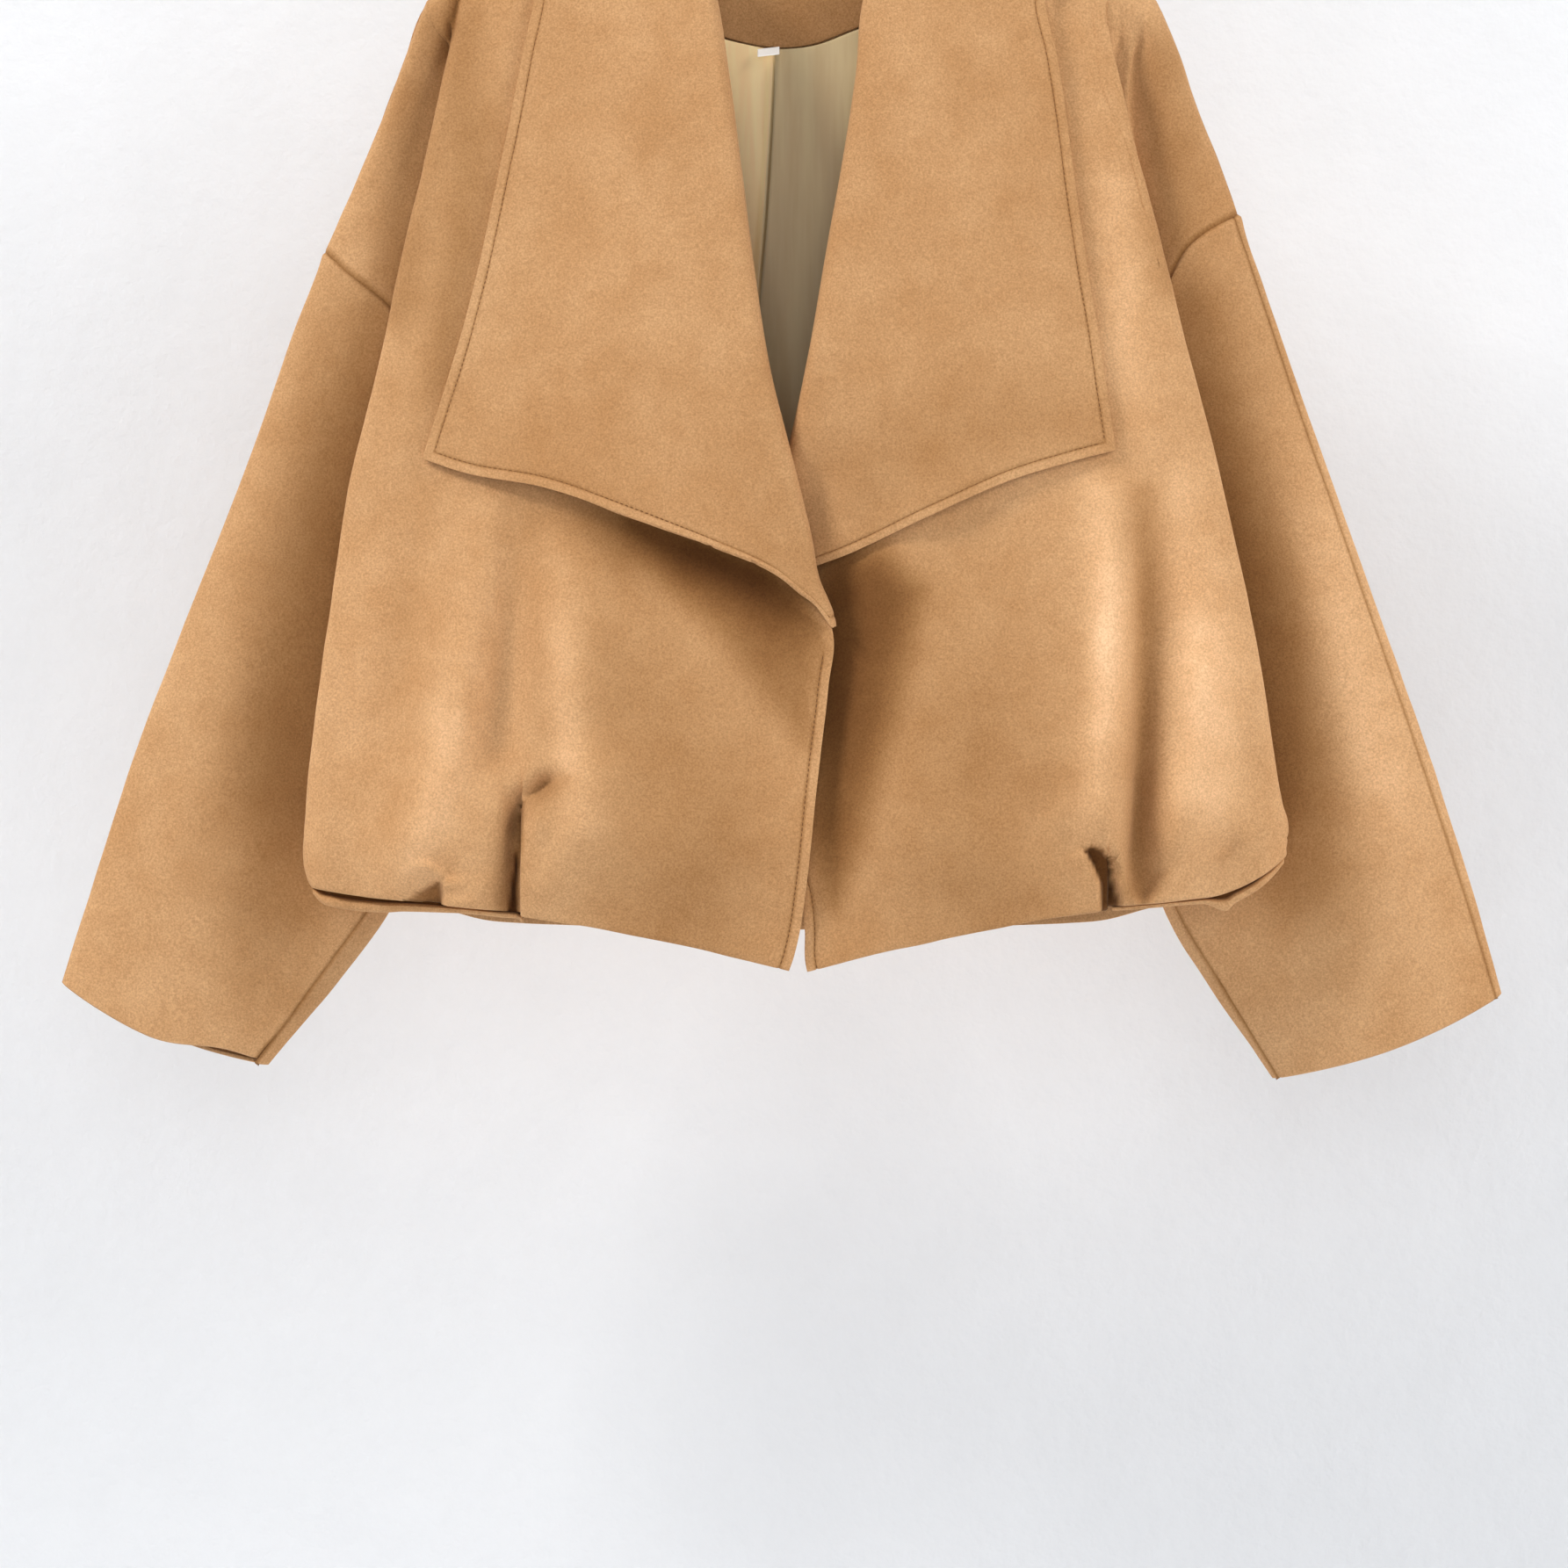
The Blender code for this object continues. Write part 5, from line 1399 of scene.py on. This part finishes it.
def front_panel(side):
    label = SIDE_NAMES[side]
    rows = front_grid(side)
    columns = as_array(rows).transpose(1, 0, 2)
    down = finer_where(rows, lambda reach, drop: drop > CLOSE_DROP, CLOSE_FINE)
    across = finer_where(columns, lambda reach, drop: CLOSE_REACH[0] < reach < CLOSE_REACH[1], CLOSE_FINE)
    across[0] = EDGE_FINE * 1.3
    grid = refine_both(rows, FINE, down, across)
    grid, mouth_shade = opened(pressed(grid, CREASES[side]), MOUTHS_AND_PAINTED_SHADOWS[side])
    grid = folded_in(cornered(grid)) if side == RIGHT else eased(cornered(grid), FRONT_EASE)
    grid = softened(grid, 1.1, 3.0 * side)
    grid = grooved(grid, side, plain_edge(grid, side))
    line = seam_line(grid, "left", side, SUEDE_THICK)
    shown = (line[:, 2] > STITCH_TOP[side]) & (np.arange(len(line)) < len(line) - CURLED_ROWS)
    stitch_runs.extend(stitches_along(line[shown]))
    grid = with_allowance(puffed(grid, side, "right", *SIDE_PUFF), "right", side)
    mouth_shade = np.pad(mouth_shade, ((0, 0), (0, grid.shape[1] - mouth_shade.shape[1])), mode="edge")
    tones = painted_light_tones(grid, FRONT_PAINTED_LIGHT_AND_SHADE[side]) + seam_shade_tones(grid, ("right",)) + mouth_shade
    tones += groove_light_and_shade(grid, plain_edge(grid, side))
    return cloth(f"front_{label}_cloth", [f"front_{label}"], grid, SUEDE_THICK, SUEDE, tones)


def back_panel():
    grid = cornered(refine_both(back_grid(), FINE * 1.2))
    grid = softened(grid, 1.2, 11.0)
    return cloth("back_cloth", BACK_STRIPS, grid, SUEDE_THICK, SUEDE)


# How far a sleeve's back half comes round in front: share of length, at the outer and at the inner edge.
WRAP = {
    LEFT: [(0, 0.1, 2.6), (0.5, 0.1, 9), (0.72, 0.1, 13), (1, 0.1, 6.5)],
    RIGHT: [(0, 1.6, 2.6), (0.5, 3.4, 5), (0.72, 5, 8), (1, 4.5, 2.8)],
}
SLEEVE_ROUND = 18
# Behind, a sleeve keeps this share of the painted light and shade that it has in front.
BEHIND_TONE = 0.2
CUFF_EASE = [(-352, 785, 38, 14, 0, -4.5)]


# Share of a sleeve's length over which its edge is eased in to meet the armhole.
ARMHOLE_FADE = 0.22


def tube_point(side, v, turn):
    """A point of a sleeve's tube: turn is 0 at the outer edge, 180 round in front and -180 behind."""
    s = (1 - math.cos(math.radians(turn))) / 2
    front, behind = (sleeve_point(side, s, v, face) for face in (-1, 1))
    chosen = front if turn > 0 else behind
    middle = (front[1] + behind[1]) / 2
    open_by = min(1.0, abs(math.sin(math.radians(turn))) / 0.35)
    spare = (SLEEVE_INNER[side][0][1] - side_place(side, 1)[0]) * s * (1 - ease(v / ARMHOLE_FADE))
    return (chosen[0] - side * spare, mix(middle, chosen[1], open_by), chosen[2])


def sleeve_turns(side, v):
    """Turns of the two seams in front, at the outer and at the inner edge."""
    outer, inner = (sleeve_point(side, s, v, -1) for s in (0, 1))
    width = math.dist(outer[::2], inner[::2])
    shown = [2 * along(WRAP[side], v, place) / width for place in (1, 2)]
    return [math.degrees(math.acos(1 - part)) for part in shown]


def sleeve_tube(side, face):
    """One half of a sleeve, between its two seams; the back half comes round to the front."""
    rows = []
    for v in SLEEVE_ROWS:
        outer, inner = sleeve_turns(side, v)
        start, end = (outer, 180 - inner) if face < 0 else (outer, -180 - inner)
        row = []
        for i in range(SLEEVE_ROUND + 1):
            turn = mix(start, end, i / SLEEVE_ROUND)
            row.append(tube_point(side, v, turn + 360 if turn < -180 else turn))
        rows.append(row)
    return trim_top(rows, 2 * SEAM)


def sleeve_panel(side, face):
    label, name = SIDE_NAMES[side], "front" if face < 0 else "back"
    facing = -side if face < 0 else side
    close = {0: EDGE_FINE, -1: EDGE_FINE}
    grid = refine_both(sleeve_tube(side, face), FINE, {0: 1.6}, close)
    grid = softened(grid, 0.9, 5.0 * side + face)
    if side == LEFT and face < 0:
        grid = eased(grid, CUFF_EASE)
    grid = puffed(grid, facing, "first", *ARMHOLE_PUFF)
    for edge in ("left", "right"):
        grid = puffed(grid, facing, edge, *SLEEVE_SEAM_PUFF)
    for edge in ("left", "right", "first", "last"):
        grid = with_allowance(grid, edge, facing)
    seams = ("right", "first") if side == LEFT else ("left", "right", "first")
    tones = painted_light_tones(grid, SLEEVE_PAINTED_LIGHT_AND_SHADE[side])
    if face > 0:
        y = grid[:, :, 1]
        middle = (y.min(axis=1, keepdims=True) + y.max(axis=1, keepdims=True)) / 2
        tones *= np.clip(0.6 - (y - middle) / 8, BEHIND_TONE, 1)
    tones += seam_shade_tones(grid, seams)
    solids = [f"sleeve_{name}_{label}", f"forearm_{name}_{label}"]
    return cloth(f"sleeve_{name}_{label}_cloth", solids, grid, SUEDE_THICK, SUEDE, tones)


def lapel_panel(side):
    """Half of the collar, whose two stitched lines each stop where they meet the other."""
    label = SIDE_NAMES[side]
    fine = {-1: EDGE_FINE, -2: EDGE_FINE}
    grid = refine_both(lapel_grid(side), FINE * 0.8, fine, {-1: EDGE_FINE, -2: 1.6})
    grid = softened(grid, 0.5, 17.0 * side, 110.0)
    if side == LEFT:
        grid = eased(grid, REVERS_EASE)
    stitched = {"right": "last", "last": "right"}
    shares = {edge: between(from_edge(grid, other), INSET - 1.5, INSET) for edge, other in stitched.items()}
    grid = grooved(grid, side, shares)
    for edge, other in stitched.items():
        clear = edge_first(from_edge(grid, other), edge)[0] > INSET
        stitch_runs.extend(stitches_along(seam_line(grid, edge, side, COLLAR_THICK)[clear]))
    tones = COLLAR_PAINTED_SHADE + painted_light_tones(grid, COLLAR_PAINTED_LIGHT_AND_SHADE[side]) + groove_light_and_shade(grid, shares)
    return cloth(f"collar_{label}_cloth", [f"lapel_{label}"], grid, COLLAR_THICK, SUEDE, tones)


fronts = {side: front_panel(side) for side in (LEFT, RIGHT)}
back = back_panel()
sleeves = {(side, face): sleeve_panel(side, face) for side in (LEFT, RIGHT) for face in (-1, 1)}
collar = {side: lapel_panel(side) for side in (LEFT, RIGHT)}
bars("topstitching", stitch_runs, "POLY", STITCH_RADIUS, 1, THREAD)
# The back-neck seam rises to the right, and the lining's pleat leans out a little as it goes down.
NECK_EASE = [(45, 158, 30, 22, 0, -8)]
PLEAT_EASE = [(-20, 330, 25, 60, -4, 0)]
PLEAT_LINE = [(167, -13), (312, -22.7), (400, -28.5)]
# Painted light and shade of the lining, in stops.
PLEAT_LIT, PLEAT_SHADED, PLEAT_FOLD_SHADE, LOW_SHADE = 0.45, -0.32, -0.8, -0.2
LABEL_OUT, LABEL_SHORT, LABEL_TILT = 7.0, 0.62, 0.12


def facing_panel():
    grid = eased(refine_both(facing_grid(), 3.0), NECK_EASE)
    return cloth("neck_facing_cloth", ["neck_facing"], grid, FACING_THICK, SUEDE, FACING_PAINTED_SHADE)


def lining_panel():
    """The satin, with painted light before its centre pleat, painted shade behind it and in its fold, and painted
    shade towards its foot.
    """
    grid = eased(refine_both(lining_grid(), 2.0), NECK_EASE + PLEAT_EASE)
    x, drop = grid[:, :, 0], grid[:, :, 2]
    away = x - np.interp(drop, *zip(*PLEAT_LINE))
    tones = mix(PLEAT_LIT, PLEAT_SHADED, (1 + np.tanh(away / 1.2)) / 2)
    tones += PLEAT_FOLD_SHADE * np.exp(-((away - 1.4) ** 2)) + LOW_SHADE * np.clip((drop - 240) / 100, 0, 1)
    return cloth("lining_cloth", ["lining"], grid, SATIN_THICK, SATIN, tones)


def label_panel():
    """The blank label, which stands out from the seam at its lower edge and hangs a little askew."""
    rows = []
    for row in label_grid():
        low = (row[0][2] - LABEL_TOP) / LABEL_DEEP
        drop = LABEL_TOP + LABEL_DEEP * LABEL_SHORT * low
        rows.append([(x, y - LABEL_OUT * low, drop - (x - LABEL_X) * LABEL_TILT) for x, y, _ in row])
    return cloth("blank_label", ["label"], refine_both(rows, 1.0), LABEL_THICK, LABEL)


facing, lining, label = facing_panel(), lining_panel(), label_panel()
# The hem's inner lip, which shows under the tucked edge: reach, depth under it.
LIP_DEEP = {
    LEFT: [(166, 4), (200, 4), (216, 5), (240, 7), (251, 8.5), (280, 9.5), (288, 8.5), (293, 3.5)],
    RIGHT: [(190, 3), (216, 3), (249, 3.5), (254, 5), (260, 10), (263, 11), (266, 8.5), (278, 8), (284, 6.5),
            (289, 3.5)],
}
LIP_START = {LEFT: 166, RIGHT: 192}
REAR_LIP = 3.5
# The painted shade under the tucked edge: its tone, how much of the lip's depth it reaches, and the fainter
# painted shade below it.
LIP_SHADE, LIP_SHADE_REACH, LIP_FAINT_SHADE = -2.7, 0.45, -0.15
# Share of its depth, and how far behind the outer cloth it lies there.
LIP_DOWN = [(0, 6), (0.3, 6.5), (0.42, 4), (0.6, 2), (0.85, 2.5), (1, 4.5)]


def hem_lip(side):
    """The strip of turned-up hem just under and behind the outer cloth, which goes round its corner."""
    foot = as_array([front_grid(side)[-3]])[0]
    foot = foot[np.abs(foot[:, 0]) >= LIP_START[side]]
    turns = np.arange(len(foot))
    fine = np.linspace(0, len(foot) - 1, 8 * len(foot))
    foot = np.stack([np.interp(fine, turns, foot[:, i]) for i in range(3)], axis=1)
    turned = np.arange(len(foot)) > np.argmax(np.abs(foot[:, 0]))
    inwards = np.clip((SIDE_Y - foot[:, 1]) / 7, -1, 1)
    deep = np.where(turned, REAR_LIP, [along(LIP_DEEP[side], abs(x)) for x in foot[:, 0]])
    return [[(x, y + behind * inward, drop + 0.3 + share * down)
             for (x, y, drop), inward, down in zip(foot, inwards, deep)] for share, behind in LIP_DOWN]


def rear_hem():
    """The back's hem band, shallower towards its ends."""
    foot = [p for p in back_grid()[-1] if abs(p[0]) < BACK_BAND_REACH]
    rows = band_grid(foot)
    for row in rows[1:]:
        for i, (x, y, drop) in enumerate(row):
            under = drop - foot[i][2]
            row[i] = (x, y, foot[i][2] + under * ease((BACK_BAND_REACH + 6 - abs(x)) / 70))
    return rows


def lip_panel(side):
    grid = cornered(refine_both(hem_lip(side), 1.2))
    name = f"hem_band_{SIDE_NAMES[side]}"
    down = from_edge(grid, "first")
    share = down / (down + from_edge(grid, "last"))
    tones = LIP_SHADE * np.exp(-((share / LIP_SHADE_REACH) ** 4)) + LIP_FAINT_SHADE
    return cloth(f"{name}_cloth", [name], grid, LIP_THICK, SUEDE, tones)


lips = {side: lip_panel(side) for side in (LEFT, RIGHT)}
rear_band = cloth("hem_band_back_cloth", [name.replace("back", "hem_band_back") for name in BACK_STRIPS],
                  refine_both(rear_hem(), 3.0), SUEDE_THICK, SUEDE)


bar = bars("hanger_bar", [arms_route()], "NURBS", ARM_RADIUS, 7, WOOD)
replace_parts(bar, "hanger_arms")
hook = bars("hanger_hook_wire", [hook_route()], "NURBS", WIRE_RADIUS, 5, STEEL)
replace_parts(hook, "hanger_hook")

# Stage, light and camera.

CAMERA_FAR, FULL_WIDTH, SHARP_Y = 3200.0, 963.9, -30.0
VIEW_X, VIEW_DROP = -6.75, 617.0
WALL_Y, FLOOR_DROP, STAGE_SIZE = 260.0, 1500.0, 8
SENSOR = 36
WARM, ROOM_LIGHT, ROOM_POWER = (1, 0.985, 0.965), (0.97, 0.98, 1, 1), 0.18


def stage_plane(name, location, turn, material):
    deselect()
    bpy.ops.mesh.primitive_plane_add(size=STAGE_SIZE, location=location, rotation=turn)
    plane = bpy.context.object
    plane.name = name
    plane.data.materials.append(material)


def soft_light(name, location, aim, size, power, tint=(1, 1, 1)):
    deselect()
    bpy.ops.object.light_add(type="AREA", location=location)
    lamp = bpy.context.object
    lamp.name = name
    lamp.data.shape = "RECTANGLE"
    lamp.data.size, lamp.data.size_y = size
    lamp.data.energy = power
    lamp.data.color = tint
    lamp.rotation_euler = (Vector(aim) - Vector(location)).to_track_quat("-Z", "Y").to_euler()


stage_plane("wall", (0, WALL_Y * MM, -0.5), (math.radians(90), 0, 0), plaster_finish(True))
stage_plane("floor", (0, -2.0, -FLOOR_DROP * MM), (0, 0, 0), plaster_finish(False))
soft_light("key left", (-3.2, -1.7, 2.5), (0, 0, -0.55), (1.2, 1.2), 166, WARM)
soft_light("key right", (3.4, -1.5, 1.4), (0.1, 0, -0.7), (2.0, 2.0), 104, WARM)
soft_light("front fill", (0, -5.0, 0.2), (0, 0, -0.55), (2.4, 2.4), 42)
soft_light("behind", (0.8, 2.4, 0.6), (0, 0, -0.5), (2.5, 2.5), 30)

world = bpy.context.scene.world or bpy.data.worlds.new("studio")
bpy.context.scene.world = world
world.use_nodes = True
room = world.node_tree.nodes["Background"].inputs
room[0].default_value, room[1].default_value = ROOM_LIGHT, ROOM_POWER

bpy.ops.object.camera_add(location=(VIEW_X * MM, -(CAMERA_FAR - SHARP_Y) * MM, -VIEW_DROP * MM),
                          rotation=(math.radians(90), 0, 0))
camera = bpy.context.object
camera.data.sensor_width = SENSOR
camera.data.lens = SENSOR * CAMERA_FAR / FULL_WIDTH
camera.data.clip_end = 50
bpy.context.scene.camera = camera
bpy.context.scene.view_settings.view_transform = "Standard"
